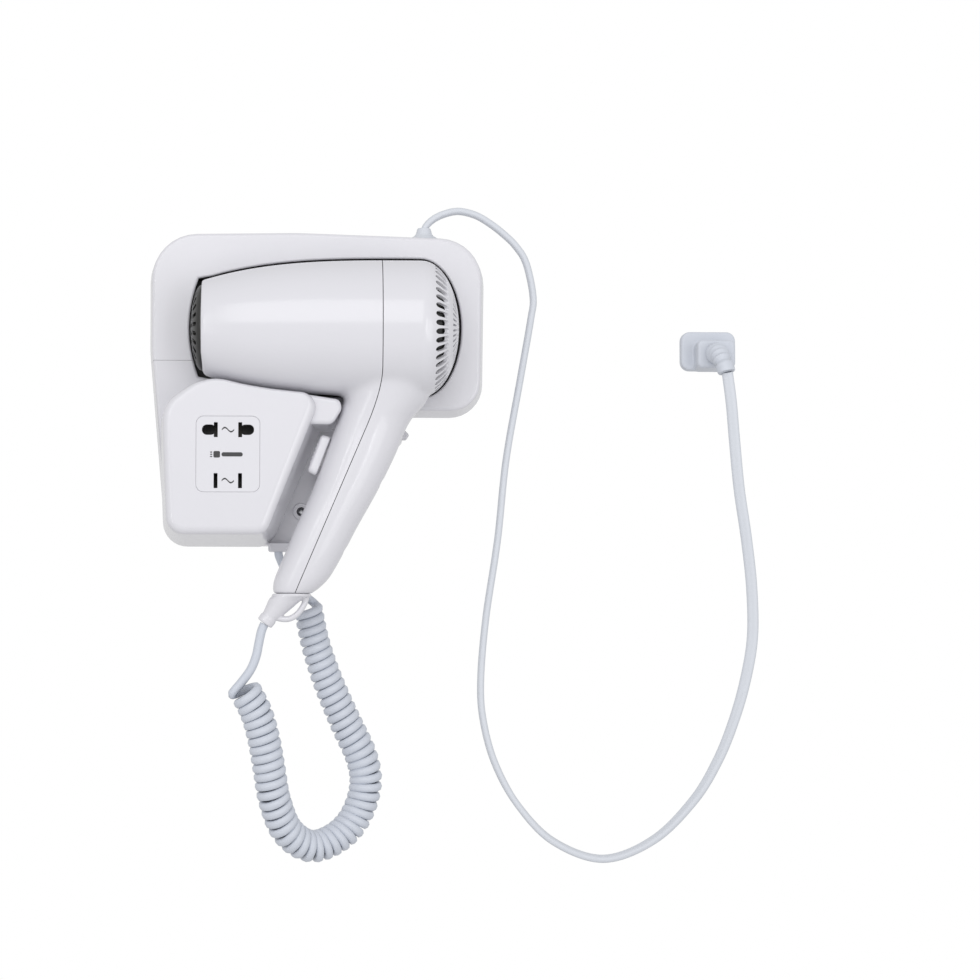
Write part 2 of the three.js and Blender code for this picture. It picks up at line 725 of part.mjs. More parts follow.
const panelCorners = rectangle(PANEL.x, PANEL.z, PANEL.width, PANEL.height, PANEL.corner);
const panelOutline = (grow = 0) => outline(panelCorners, grow);
const PLUNGER = { x: -30, y: BARREL_Y + 8, radius: 2.4 };
const plungerHole = solid(
  rod(PLUNGER.radius + 0.5, 20, "z", [PLUNGER.x, PLUNGER.y, shelfHeight(PLUNGER.x)], 16),
);
const curlyHole = solid(rod(CURLY_GLAND.radius + GAP, 12, "z", [CURLY_GLAND.x, CURLY_GLAND.y, -84]));
const channelFloor = drafted(CHANNEL_FLOOR, 0, -CHANNEL_DEPTH, 1.2)
  .add(plate(outline(LUG), -2, -CHANNEL_DEPTH + 2));
const channelHollow = drafted(CHANNEL_FLOOR, 0.5, COVER_WALL - CHANNEL_DEPTH, 1.2, -COVER_WALL);
const screwBoss = solid(rod(CHANNEL_SCREW.boss, CHANNEL_DEPTH - PLATE_THICKNESS - GAP, "y", [
  CHANNEL_SCREW.x,
  -(CHANNEL_DEPTH + PLATE_THICKNESS + GAP) / 2,
  CHANNEL_SCREW.z,
]));
const screwBore = solid(rod(CHANNEL_SCREW.hole, 30, "y", [CHANNEL_SCREW.x, 0, CHANNEL_SCREW.z], 16));
const socketBox = drafted(BOX, 0, -BOX_DEPTH, BOX_DRAFT, BOX_DRAFT).intersect(
  plate(underShelf(0), 1, -BOX_DEPTH - 1),
);
const boxHollow = drafted(BOX, 0.5, BOX_WALL - BOX_DEPTH, BOX_DRAFT, BOX_DRAFT - BOX_WALL).intersect(
  plate(underShelf(BOX_WALL), 1, -BOX_DEPTH - 1),
);
const lowerCover = frame
  .subtract(plate(upperShare(-0.2), 1, -FRAME_DEPTH - 1))
  .add(channelFloor)
  .subtract(frameHollow)
  .subtract(channelHollow)
  .add(socketBox)
  .add(plate(outline(TONGUE), -4, -TONGUE_DEPTH))
  .subtract(boxHollow)
  .subtract(plate(outline(TONGUE, -BOX_WALL), 1, BOX_WALL - TONGUE_DEPTH))
  .subtract(frameHollow)
  .subtract(linerRoom)
  .subtract(opening)
  .subtract(plateRoom)
  .add(screwBoss)
  .subtract(screwBore)
  .subtract(plungerHole)
  .subtract(curlyHole)
  .subtract(plate(panelOutline(GAP), 0, -BOX_DEPTH - 1));
add(holder, "lower_cover", lowerCover, gloss);

const LINER_FRONT = COVER_WALL + GAP - FRAME_DEPTH;
const LINER_FLOOR = -4.8;
const liner = plate(recess(LINER_WALL + GAP), LINER_FLOOR, LINER_FRONT).subtract(
  plate(recess(GAP), LINER_FLOOR - LINER_WALL, LINER_FRONT - 1),
);
add(holder, "cradle_liner", liner, black);

add(holder, "back_plate", backPlate(0, 0, -PLATE_THICKNESS), grey);

// ---------------------------------------------------------------- shaver socket
const BLOCK_INSET = 1.2; // the block behind the panel is this much smaller all round
const upperRow = PANEL.z + HOLE_ROWS[0];
const lowerRow = PANEL.z + HOLE_ROWS[1];
let socketFace = plate(panelOutline(), PANEL.thickness - BOX_DEPTH, -BOX_DEPTH);
let socketBlock = block(
  [PANEL.x - PANEL.width / 2 + BLOCK_INSET, PANEL.x + PANEL.width / 2 - BLOCK_INSET],
  [PANEL.thickness + GAP - BOX_DEPTH, 17.5 - BOX_DEPTH],
  [PANEL.z - PANEL.height / 2 + BLOCK_INSET, PANEL.z + PANEL.height / 2 - BLOCK_INSET],
);
const contactMiddle = 10 - BOX_DEPTH;
for (const side of [-1, 1]) {
  const slotX = PANEL.x + (side * PIN_PITCH) / 2;
  const roundX = PANEL.x + side * (PIN_PITCH / 2 + ROUND_HOLE.reach - ROUND_HOLE.radius - SLOT.width / 2);
  for (const row of [upperRow, lowerRow]) {
    const slot = block(
      [slotX - SLOT.width / 2, slotX + SLOT.width / 2],
      [-BOX_DEPTH - 1, 5 - BOX_DEPTH],
      [row - SLOT.height / 2, row + SLOT.height / 2],
    );
    socketFace = socketFace.subtract(slot);
  }
  const round = solid(rod(ROUND_HOLE.radius, 10, "y", [roundX, -BOX_DEPTH, upperRow], 20)).add(
    block(
      [Math.min(slotX, roundX), Math.max(slotX, roundX)],
      [-BOX_DEPTH - 1, 5 - BOX_DEPTH],
      [upperRow - ROUND_HOLE.radius, upperRow + ROUND_HOLE.radius],
    ),
  );
  socketFace = socketFace.subtract(round);
  const pocketSide = (...ends) => ends.map((end) => PANEL.x + side * end).sort((a, b) => a - b);
  const pocketDepth = [-BOX_DEPTH, 15 - BOX_DEPTH];
  const upperPocket = block(pocketSide(3.4, 13.4), pocketDepth, [upperRow - 4.4, upperRow + 4.4]);
  const lowerPocket = block(pocketSide(3.4, 8.4), pocketDepth, [lowerRow - 4.4, lowerRow + 4.4]);
  socketBlock = socketBlock.subtract(upperPocket).subtract(lowerPocket);
}
add(holder, "socket_face", socketFace, gloss);
add(holder, "socket_block", socketBlock, black);
[upperRow, lowerRow].forEach((row, i) => {
  [-1, 1].forEach((side, j) => {
    const leaf = box([0.8, 9, 7], [PANEL.x + side * 4.4, contactMiddle, row]);
    add(holder, "socket_contact_" + (2 * i + j + 1), leaf, brass);
  });
});

// ---------------------------------------------------------------- transformer, switch and terminals
const CORE = { x: -52, z: -44, y: -28, width: 38, height: 32, depth: 18, leg: 12, windowWidth: 7 };
let core = block(
  [CORE.x - CORE.width / 2, CORE.x + CORE.width / 2],
  [CORE.y - CORE.depth / 2, CORE.y + CORE.depth / 2],
  [CORE.z - CORE.height / 2, CORE.z + CORE.height / 2],
);
const windowHeight = CORE.height - CORE.leg;
for (const side of [-1, 1]) {
  const middle = CORE.x + (side * (CORE.leg + CORE.windowWidth)) / 2;
  core = core.subtract(
    block(
      [middle - CORE.windowWidth / 2, middle + CORE.windowWidth / 2],
      [CORE.y - CORE.depth, CORE.y + CORE.depth],
      [CORE.z - windowHeight / 2, CORE.z + windowHeight / 2],
    ),
  );
}
add(holder, "transformer_core", core, grey);
const windingWide = CORE.leg / 2 + CORE.windowWidth - GAP;
const windingDeep = CORE.depth / 2 + 5;
const windingHigh = windowHeight / 2 - GAP;
const winding = block(
  [CORE.x - windingWide, CORE.x + windingWide],
  [CORE.y - windingDeep, CORE.y + windingDeep],
  [CORE.z - windingHigh, CORE.z + windingHigh],
).subtract(
  block(
    [CORE.x - CORE.leg / 2 - GAP, CORE.x + CORE.leg / 2 + GAP],
    [CORE.y - CORE.depth / 2 - GAP, CORE.y + CORE.depth / 2 + GAP],
    [CORE.z - CORE.height, CORE.z + CORE.height],
  ),
);
add(holder, "transformer_winding", winding, copper);

const plungerTop = shelfHeight(PLUNGER.x) + SHELF_GAP - 0.6;
const plungerLength = 12;
add(
  holder,
  "hook_plunger",
  rod(PLUNGER.radius, plungerLength, "z", [PLUNGER.x, PLUNGER.y, plungerTop - plungerLength / 2], 16),
  black,
);
const switchTop = plungerTop - plungerLength - GAP;
add(
  holder,
  "hook_switch_body",
  box([20, 10, 8], [PLUNGER.x + 2, PLUNGER.y, switchTop - 4]),
  black,
);
const TERMINAL = { x: 30, y: -11, size: [24, 10, 5.6] };
const linerTop = BARREL_Z + CRADLE_RISE + TAIL_RADIUS + CRADLE_GAP + LINER_WALL + GAP;
add(
  holder,
  "terminal_block",
  box(TERMINAL.size, [TERMINAL.x, TERMINAL.y, linerTop + 2 * GAP + TERMINAL.size[2] / 2]),
  grey,
);

// ---------------------------------------------------------------- glands and screws
function turnedUp(points, x, y, sides = 20) {
  return turned(points, sides).rotateY(-Math.PI / 2).translate(x, y, 0);
}
add(
  holder,
  "mains_gland",
  turnedUp(
    [
      [MAINS_GLAND.foot, 0],
      [MAINS_GLAND.foot, MAINS_GLAND.radius],
      [MAINS_GLAND.top - 2, MAINS_GLAND.radius],
      [MAINS_GLAND.top - 0.6, MAINS_GLAND.radius - 1.2],
      [MAINS_GLAND.top, MAINS_GLAND.lip - 0.6],
      [MAINS_GLAND.top, 0],
    ],
    MAINS_GLAND.x,
    MAINS_GLAND.y,
  ),
  gloss,
);
add(
  holder,
  "curly_gland",
  rod(
    CURLY_GLAND.radius,
    CURLY_GLAND.top - CURLY_GLAND.foot,
    "z",
    [CURLY_GLAND.x, CURLY_GLAND.y, (CURLY_GLAND.top + CURLY_GLAND.foot) / 2],
  ),
  gloss,
);
add(
  holder,
  "cover_screw_1",
  rod(CHANNEL_SCREW.hole - GAP, 4, "y", [CHANNEL_SCREW.x, -PLATE_THICKNESS - GAP - 2, CHANNEL_SCREW.z], 12),
  steel,
);

// ---------------------------------------------------------------- cords
const curveThrough = (points) => new THREE.CatmullRomCurve3(points.map((p) => new THREE.Vector3(...p)));
const disc = (diameter) => ovalShape(diameter, diameter);

const MAINS_ROUTE = [
  [57.8, -12, 83.6],
  [57.8, -12, 85.6],
  [58.6, -12, 87.8],
  [61.4, -11.5, 91],
  [66.5, -11, 94.2],
  [75.7, -11, 96.6],
  [85.4, -11, 94.6],
  [93.5, -11, 90],
  [101.1, -11, 84.1],
  [107.6, -11, 77.6],
  [113, -11, 68.5],
  [116.7, -11, 50.5],
  [115.4, -11, 38.1],
  [109.7, -11, 5.6],
  [102.1, -11, -37.6],
  [97.5, -11, -80.7],
  [91.1, -11, -123.6],
  [88.4, -11, -158.4],
  [90.3, -11.5, -180],
  [96.6, -12, -201.5],
  [108.4, -13, -222.6],
  [127, -15, -241.6],
  [153.5, -18, -250.8],
  [180.2, -21, -240.6],
  [201.4, -24, -219.5],
  [214, -27, -198.3],
  [222.3, -30, -177.1],
  [228.1, -33, -155.8],
  [231.6, -36, -133],
  [230.8, -40, -107],
  [227.6, -44, -81.1],
  [223.4, -48, -55],
  [220.6, -52, -30],
  [218.6, -55, -10],
  [216.5, -55.8, 5.6],
];
const mainsPath = curveThrough(MAINS_ROUTE);
add(holder, "mains_cord", tube(mainsPath, ovalShape(MAINS_CORD.thick, MAINS_CORD.width), 78), rubber);

// The curly cord hangs in a U: its right limb runs up to the holder, its left limb up to the handset.
const COIL_ROUTE = [
  [-35.2, BARREL_Y, -165.4],
  [-30, BARREL_Y, -174.6],
  [-26.6, BARREL_Y, -187.4],
  [-23.8, -44.5, -203],
  [-21, -43, -218.7],
  [-14.4, -38, -235],
  [-2.2, -31, -243.2],
  [11.2, -24, -239.2],
  [21.4, -18.5, -228.6],
  [26.9, -15.5, -212],
  [24.8, -14.3, -196.6],
  [15.7, -14, -177],
  [6.6, -14, -155.8],
  [0.2, -14, -136.6],
  [-3.9, -14, -117.6],
];
add(holder, "curly_coil", tube(curveThrough(COIL_ROUTE), disc(CURLY_COIL), 40, 5), rubber);

const HANDSET_LEAD = [
  [-26.8, BARREL_Y, -126.8],
  [-28.6, BARREL_Y, -131],
  [-30.6, BARREL_Y, -137.6],
  [-32.6, BARREL_Y, -145.8],
  [-35.2, BARREL_Y, -154],
  [-37.6, BARREL_Y, -160.6],
];
add(handset, "curly_lead_handset", tube(curveThrough(HANDSET_LEAD), disc(CURLY_STRAND), 12, 2), rubber);
const HOLDER_LEAD = [
  [CURLY_GLAND.x, CURLY_GLAND.y, CURLY_GLAND.foot - GAP],
  [CURLY_GLAND.x, CURLY_GLAND.y, CURLY_GLAND.foot - 2],
  [CURLY_GLAND.x + 1, CURLY_GLAND.y, -91],
  [-15.8, -14, -97],
  [-10.4, -14, -107],
  [-5.6, -14, -116.6],
];
add(holder, "curly_lead_holder", tube(curveThrough(HOLDER_LEAD), disc(CURLY_STRAND), 10, 2), rubber);

// ---------------------------------------------------------------- mains plug
const PLUG = { x: 209.9, z: 20.3, width: 29.6, height: 21, back: -17.4, flange: 7, corner: 5 };
const PLUG_BLOCK = { width: 20.6, height: 16.6, depth: 16, corner: 3, inset: 1.8 };
const blockX = PLUG.x + (PLUG.width - PLUG_BLOCK.width) / 2 - PLUG_BLOCK.inset;
const blockZ = PLUG.z - (PLUG.height - PLUG_BLOCK.height) / 2 - 0.4;
const flangeFront = PLUG.back - PLUG.flange;
const plugFront = flangeFront - PLUG_BLOCK.depth;
const plugBody = drafted(
  rectangle(PLUG.x, PLUG.z, PLUG.width, PLUG.height, PLUG.corner),
  PLUG.back,
  flangeFront,
  1.5,
).add(
  drafted(
    rectangle(blockX, blockZ, PLUG_BLOCK.width, PLUG_BLOCK.height, PLUG_BLOCK.corner),
    PLUG.back - 1,
    plugFront,
    0.6,
  ),
);
add(holder, "plug_body", plugBody, rubber);
const PIN = { thick: 1.5, height: 6.3, length: 16.6 };
[-1, 1].forEach((side, i) => {
  const pin = box(
    [PIN.thick, PIN.length, PIN.height],
    [PLUG.x + (side * PIN_PITCH) / 2, PLUG.back + GAP + PIN.length / 2, PLUG.z],
  );
  add(holder, "plug_pin_" + (i + 1), pin, brass);
});
// The ribbed boot leaves the plug's front and bends down to the cord.
const PLUG_BOOT_WIDTH = 8.4;
const bootCurve = curveThrough([
  [blockX, plugFront - GAP, blockZ],
  [blockX, plugFront - 3, blockZ],
  [blockX + 0.4, plugFront - 8, blockZ - 1.6],
  [blockX + 1.6, plugFront - 12.4, blockZ - 5.4],
  [216, -55.4, 7.6],
]);
add(holder, "plug_boot", tube(bootCurve, disc(PLUG_BOOT_WIDTH), 8, 4), rubber);

export default part;
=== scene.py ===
# %% Load the frame
import json
import math

import bmesh
import bpy
import numpy as np
from mathutils import Matrix, Vector


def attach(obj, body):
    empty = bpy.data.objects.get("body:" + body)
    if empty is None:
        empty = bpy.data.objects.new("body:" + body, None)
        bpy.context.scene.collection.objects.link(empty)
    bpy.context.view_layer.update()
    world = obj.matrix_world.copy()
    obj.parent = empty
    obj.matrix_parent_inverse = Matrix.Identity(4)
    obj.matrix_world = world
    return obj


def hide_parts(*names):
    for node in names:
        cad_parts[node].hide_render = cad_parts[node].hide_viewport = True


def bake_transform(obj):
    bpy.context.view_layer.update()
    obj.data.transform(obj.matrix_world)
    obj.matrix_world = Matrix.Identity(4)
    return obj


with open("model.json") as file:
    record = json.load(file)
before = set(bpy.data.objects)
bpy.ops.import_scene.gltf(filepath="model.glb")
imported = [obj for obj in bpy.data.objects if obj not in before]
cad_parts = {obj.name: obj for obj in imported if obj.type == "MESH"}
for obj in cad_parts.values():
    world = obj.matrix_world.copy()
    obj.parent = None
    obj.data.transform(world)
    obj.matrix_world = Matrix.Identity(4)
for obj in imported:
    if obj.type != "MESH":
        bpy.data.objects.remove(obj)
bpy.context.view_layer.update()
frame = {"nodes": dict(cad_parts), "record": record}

# %% [markdown]
# # A wall-mounted hair dryer
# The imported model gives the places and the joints; this script gives the looks. Sizes are written in
# millimetres, as on a maker's drawing, and MM turns them into Blender's metres. The wall is the plane y = 0,
# the user stands at -Y, and the origin is on the wall behind the middle of the holder.

# %% Units and the sizes that several pieces share
MM = 0.001
BARREL = Vector((0, -45, 29.2))  # a point on the barrel's axis, which runs along X
BARREL_FRONT = -60
DOME_START = 55.5
DOME_LENGTH = 19.9
TAIL_RADIUS = 36
NOSE_RADIUS = 24.9
TAPER_POWER = 3.3
HANDLE_TILT = math.radians(23.1)
SHELL_WALL = 2
SEAM_GAP = 0.4
FRAME_DEPTH = 24
BOX_DEPTH = 62

# %% [markdown]
# ## Camera
# A long lens from two metres away keeps the holder's sides nearly parallel. The camera could be turned with
# rotation angles, but aiming it at a target point with to_track_quat keeps the numbers easy to read: a place
# to look at, a direction to stand in and the width that the picture takes in there.

# %% Camera
TARGET = Vector((94, 0, -53.2)) * MM
STAND_OFF = 1.9
TURN, RISE = math.radians(2.8), math.radians(3.5)
FIELD_WIDTH = 0.5292


def make_camera():
    looking = Vector((math.sin(TURN) * math.cos(RISE), math.cos(TURN) * math.cos(RISE), math.sin(RISE)))
    bpy.ops.object.camera_add(location=TARGET - looking * STAND_OFF)
    camera = bpy.context.active_object
    camera.rotation_mode = "QUATERNION"
    camera.rotation_quaternion = looking.to_track_quat("-Z", "Y")
    camera.data.lens = camera.data.sensor_width * STAND_OFF / FIELD_WIDTH
    bpy.context.scene.camera = camera
    print("lens", round(camera.data.lens, 1), "mm")


make_camera()

# %% [markdown]
# ## Writing shaders as sums
# A material's node graph can be clicked together, but a script reads better when shader maths looks like
# maths. `Wire` wraps a socket, so that `1 - mask * 0.5` adds the Math nodes it needs. Every other node comes
# from `Recipe.node`, which takes the node's type, its settings and what goes into its sockets.


# %% Shader helpers
class Wire:
    """A value on its way through a material, which adds, subtracts and multiplies like a number."""

    def __init__(self, recipe, socket):
        self.recipe, self.socket = recipe, socket

    def maths(self, operation, first, second):
        return self.recipe.node("ShaderNodeMath", {"operation": operation}, {0: first, 1: second})

    def __add__(self, other):
        return self.maths("ADD", self, other)

    def __sub__(self, other):
        return self.maths("SUBTRACT", self, other)

    def __rsub__(self, other):
        return self.maths("SUBTRACT", other, self)

    def __mul__(self, other):
        return self.maths("MULTIPLY", self, other)

    def __gt__(self, other):
        return self.maths("GREATER_THAN", self, other)

    __radd__, __rmul__ = __add__, __mul__


class Recipe:
    """A new material, and the one method that adds nodes to it."""

    def __init__(self, name):
        self.material = bpy.data.materials.new(name)
        self.material.use_nodes = True
        self.tree = self.material.node_tree
        self.tree.nodes.clear()

    def node(self, kind, settings=None, inputs=None, output=0):
        made = self.tree.nodes.new(kind)
        for name, value in (settings or {}).items():
            setattr(made, name, value)
        for name, value in (inputs or {}).items():
            if isinstance(value, Wire):
                self.tree.links.new(value.socket, made.inputs[name])
            else:
                made.inputs[name].default_value = value
        return Wire(self, made.outputs[output]) if made.outputs else None

    def noise(self, scale, detail=3.0, stretch=(1, 1, 1)):
        place = self.node("ShaderNodeTexCoord", output="Object")
        place = self.node("ShaderNodeMapping", inputs={"Vector": place, "Scale": stretch})
        return self.node("ShaderNodeTexNoise", inputs={"Vector": place, "Scale": scale, "Detail": detail})

    def blend(self, share, first, second):
        colours = {0: share, 6: (*first, 1), 7: (*second, 1)}
        return self.node("ShaderNodeMix", {"data_type": "RGBA"}, colours, output=2)

    def relief(self, height, depth):
        return self.node("ShaderNodeBump", inputs={"Strength": 0.6, "Distance": depth, "Height": height})

    def surface(self, **sockets):
        inputs = {name.replace("_", " "): value for name, value in sockets.items()}
        shader = self.node("ShaderNodeBsdfPrincipled", inputs=inputs)
        self.node("ShaderNodeOutputMaterial", inputs={"Surface": shader})
        return self.material


print("a recipe's node method serves every finish below")

# %% [markdown]
# ## Finishes
# Each finish follows the record's material slots. Moulded plastic is never one flat colour: its tint drifts a
# little over a hand's width, its gloss is uneven where hands and cloths have been, and its skin has the fine
# orange peel of the tool. The drift is a large soft noise, the peel a very fine one that only tilts the normal.


# %% Moulded plastics
def moulded(name, colour, tint, gloss, peel=0.000004, peel_scale=900.0, drift_scale=22.0):
    """Injection-moulded plastic: a slow drift of colour and gloss, and a fine grain."""
    recipe = Recipe(name)
    drift = recipe.noise(drift_scale)
    grain = recipe.noise(peel_scale, detail=2.0)
    handled = recipe.noise(65.0, detail=5.0)
    return recipe.surface(
        Base_Color=recipe.blend(drift, colour, tint),
        Roughness=gloss + handled * 0.08 + grain * 0.02,
        Normal=recipe.relief(grain + handled * 0.35, peel),
        IOR=1.5,
    )


gloss_white = moulded("gloss_white", (0.655, 0.65, 0.69), (0.64, 0.637, 0.673), 0.12)
satin_white = moulded("satin_white", (0.65, 0.646, 0.685), (0.632, 0.63, 0.665), 0.34, 0.000006, 1500.0)
black_plastic = moulded("black_plastic", (0.012, 0.012, 0.012), (0.02, 0.02, 0.019), 0.36, 0.00001, 1600.0)
grey_plastic = moulded("grey_plastic", (0.30, 0.31, 0.33), (0.26, 0.27, 0.29), 0.5, 0.00001, 1500.0)
print("plastics:", gloss_white.name, satin_white.name, black_plastic.name, grey_plastic.name)

# %% [markdown]
# The cords and the plug are soft PVC, bluer and less glossy than the housing. A cord's skin has faint drawn
# streaks and a slow waviness where the wires under it press outwards, so its grain is coarser.


# %% Soft PVC
def soft_pvc(name, colour, tint):
    recipe = Recipe(name)
    drift = recipe.noise(30.0)
    wave = recipe.noise(240.0, detail=2.0)
    skin = recipe.noise(1900.0, detail=3.0)
    return recipe.surface(
        Base_Color=recipe.blend(drift, colour, tint),
        Roughness=0.34 + wave * 0.14 + skin * 0.06,
        Normal=recipe.relief(wave * 0.6 + skin * 0.4, 0.000015),
        IOR=1.48,
    )


cord_white = soft_pvc("cord_white", (0.595, 0.618, 0.665), (0.575, 0.6, 0.65))
curly_white = soft_pvc("curly_white", (0.55, 0.58, 0.645), (0.53, 0.562, 0.63))
# The plug's PVC is the cord's PVC made darker: painted shade for the soft shading that falls on the plug.
plug_white_painted_shade = soft_pvc("plug_white_painted_shade", (0.55, 0.575, 0.635), (0.53, 0.56, 0.62))
print("cords:", cord_white.name, curly_white.name, plug_white_painted_shade.name)

# %% [markdown]
# The inner works show only through slots or when the handset is off its holder, yet each has its own
# material: brushed metals, flaky mica, lacquered copper and the green lacquer of a circuit board.


# %% Metals, mica and board
def metal(name, colour, tint, roughness, stretch=(1, 1, 1)):
    recipe = Recipe(name)
    brushing = recipe.noise(700.0, stretch=stretch)
    stain = recipe.noise(60.0)
    return recipe.surface(
        Base_Color=recipe.blend(stain, colour, tint),
        Roughness=roughness + brushing * 0.15,
        Metallic=1.0,
        Normal=recipe.relief(brushing, 0.00003),
    )


def layered(name, colour, tint, roughness, scale, stretch):
    recipe = Recipe(name)
    flakes = recipe.noise(scale, detail=6.0, stretch=stretch)
    return recipe.surface(
        Base_Color=recipe.blend(flakes, colour, tint),
        Roughness=roughness + flakes * 0.2,
        Normal=recipe.relief(flakes, 0.0001),
    )


FINISH = {
    "gloss_white": gloss_white,
    "cord_white": cord_white,
    "black_plastic": black_plastic,
    "grey_plastic": grey_plastic,
    "mica": layered("mica", (0.42, 0.34, 0.2), (0.55, 0.48, 0.33), 0.4, 300.0, (1, 4, 4)),
    "steel": metal("steel", (0.55, 0.56, 0.58), (0.48, 0.49, 0.5), 0.25, (1, 6, 1)),
    "brass": metal("brass", (0.72, 0.53, 0.23), (0.6, 0.42, 0.17), 0.2, (1, 1, 6)),
    "copper_wire": metal("copper_wire", (0.55, 0.22, 0.09), (0.4, 0.14, 0.05), 0.25, (1, 1, 12)),
    "heater_wire": metal("heater_wire", (0.3, 0.27, 0.25), (0.2, 0.19, 0.2), 0.4),
    "circuit_board": layered("circuit_board", (0.02, 0.16, 0.06), (0.03, 0.2, 0.08), 0.25, 120.0, (1, 1, 1)),
}


def clothe(node, material):
    node.data.materials.clear()
    node.data.materials.append(material)


for part in frame["record"]["subparts"]:
    clothe(frame["nodes"][part["node"]], FINISH[part["material_slot"]])

# %% [markdown]
# ## Modelling helpers
# Most pieces here are mouldings: an outline that is drawn deep, leans in a little so that it leaves the tool,
# and turns over a rounded edge. So one helper, `stack`, starts from a circle primitive, lays its corners on the
# first outline and extrudes its face once for each level, laying the new corners on the next outline.
# Solids are then joined and cut with the Boolean modifier. The other way, bevelling edges after a boolean,
# leaves pinched corners where the cut made short edges; rounding the cutters themselves doesn't.


# %% Selecting, stacking and cutting
def only(piece):
    """Makes a piece the one that the next operator works on."""
    bpy.ops.object.select_all(action="DESELECT")
    piece.select_set(True)
    bpy.context.view_layer.objects.active = piece
    return piece


def in_edit_mode(piece, *operators):
    """Runs edit-mode operators on the whole of a piece."""
    only(piece)
    bpy.ops.object.mode_set(mode="EDIT")
    bpy.ops.mesh.select_all(action="SELECT")
    for operator in operators:
        operator()
    bpy.ops.object.mode_set(mode="OBJECT")


def stack(name, rings):
    """A closed skin over rings of points, in millimetres, each ring extruded from the one before."""
    bpy.ops.object.select_all(action="DESELECT")
    bpy.ops.mesh.primitive_circle_add(vertices=len(rings[0]), fill_type="NGON")
    piece = bpy.context.active_object
    piece.name = name
    bpy.ops.object.mode_set(mode="EDIT")
    for level, ring in enumerate(rings):
        if level:
            bpy.ops.mesh.extrude_region_move()
        corners = [v for v in bmesh.from_edit_mesh(piece.data).verts if v.select]
        for corner, point in zip(corners, ring):
            corner.co = Vector(point) * MM
    bpy.ops.object.mode_set(mode="OBJECT")
    in_edit_mode(piece, lambda: bpy.ops.mesh.normals_make_consistent(inside=False))
    return piece


def modify(piece, kind, **settings):
    """Adds a modifier, sets it and applies it."""
    only(piece)
    bpy.ops.object.modifier_add(type=kind)
    modifier = piece.modifiers[-1]
    for name, value in settings.items():
        setattr(modifier, name, value)
    bpy.ops.object.modifier_apply(modifier=modifier.name)
    return piece


def boolean(piece, tool, operation):
    modify(piece, "BOOLEAN", operation=operation, solver="EXACT", object=tool)
    bpy.data.objects.remove(tool)
    return piece


def cut(piece, *tools):
    for tool in tools:
        boolean(piece, tool, "DIFFERENCE")
    return piece


def join(piece, *others):
    for other in others:
        boolean(piece, other, "UNION")
    return piece


def keep(piece, tool):
    return boolean(piece, tool, "INTERSECT")


def copy_of(piece, name):
    only(piece)
    bpy.ops.object.duplicate()
    twin = bpy.context.active_object
    twin.name = name
    return twin


def melt(piece, voxel, rounds):
    """Runs joined solids together, as a mould's rounded inner corners do."""
    modify(piece, "REMESH", mode="VOXEL", voxel_size=voxel * MM)
    return modify(piece, "SMOOTH", factor=0.5, iterations=rounds)


pieces = {}


def fit(piece, body, slot, *nodes, material=None, angle=35):
    """Smooths a finished piece, gives it its finish, and lets it stand for its CAD nodes on their body."""
    only(piece)
    bpy.ops.object.shade_smooth_by_angle(angle=math.radians(angle))
    modify(piece, "WEIGHTED_NORMAL", keep_sharp=True, weight=80)
    clothe(piece, material or FINISH[slot])
    if nodes:
        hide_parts(*nodes)
    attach(piece, body)
    pieces[piece.name] = piece
    print(piece.name, len(piece.data.polygons), "faces")
    return piece


# %% Outlines and levels
CORNER_STEPS = 9


def rounded(corners, grow=0.0, steps=CORNER_STEPS):
    """Points of an outline with round corners, from (x, z, radius) listed anticlockwise, moved out by grow."""
    count = len(corners)
    sides = []
    for i, (x, z, _) in enumerate(corners):
        along = Vector((corners[(i + 1) % count][0] - x, corners[(i + 1) % count][1] - z)).normalized()
        sides.append((Vector((x + along.y * grow, z - along.x * grow)), along))
    points = []
    for i, (_, _, radius) in enumerate(corners):
        (before, arriving), (after, leaving) = sides[i - 1], sides[i]
        turn = arriving.cross(leaving)
        angle = math.atan2(turn, arriving.dot(leaving))
        radius = max(radius + math.copysign(grow, grow * turn), 0.2)
        corner = before + arriving * ((after - before).cross(leaving) / turn)
        start = corner - arriving * (radius * abs(math.tan(angle / 2)))
        spoke = Vector((arriving.y, -arriving.x)) * math.copysign(radius, turn)
        for k in range(steps):
            swing = Matrix.Rotation(angle * k / (steps - 1), 2)
            points.append(start - spoke + swing @ spoke)
    return points


def rectangle(x, z, width, height, corner):
    return [
        (x + side * width / 2, z + end * height / 2, corner)
        for side, end in [(-1, -1), (1, -1), (1, 1), (-1, 1)]
    ]


EDGE_STEPS = 5


def softened(back, front, draft, edge, grow=0.0):
    """Levels (y, grow) of a side that leans in by draft in all, the last of it round a soft front edge."""
    levels = [(back, grow), (front + edge, grow - (draft - edge))]
    for k in range(1, EDGE_STEPS + 1):
        turn = math.pi / 2 * k / EDGE_STEPS
        levels.append((front + edge * (1 - math.sin(turn)), grow - draft + edge * math.cos(turn)))
    return levels


def opening(back, front, lip, grow=0.0):
    """Levels of a cutter whose hole turns over a soft lip at the front face."""
    levels = [(back, grow)]
    for k in range(EDGE_STEPS + 1):
        turn = math.pi / 2 * k / EDGE_STEPS
        levels.append((front + lip * (1 - math.sin(turn)), grow + lip * (1 - math.cos(turn))))
    return levels + [(front - 1, grow + lip)]


def moulding(name, outline, levels):
    """A stack along Y. outline is a list of rounded corners, or a function that gives points for a grow."""
    points = outline if callable(outline) else lambda grow: rounded(outline, grow)
    return stack(name, [[(x, y, z) for x, z in points(grow)] for y, grow in levels])


def straight(back, front, grow=0.0):
    return [(back, grow), (front, grow)]


def turned_x(name, profile, middle, sides=96):
    """A solid of revolution along X from (x, radius) points, round a middle point."""
    turns = [2 * math.pi * k / sides for k in range(sides)]
    rings = [
        [(x, middle.y + r * math.cos(a), middle.z + r * math.sin(a)) for a in turns] for x, r in profile
    ]
    return stack(name, rings)


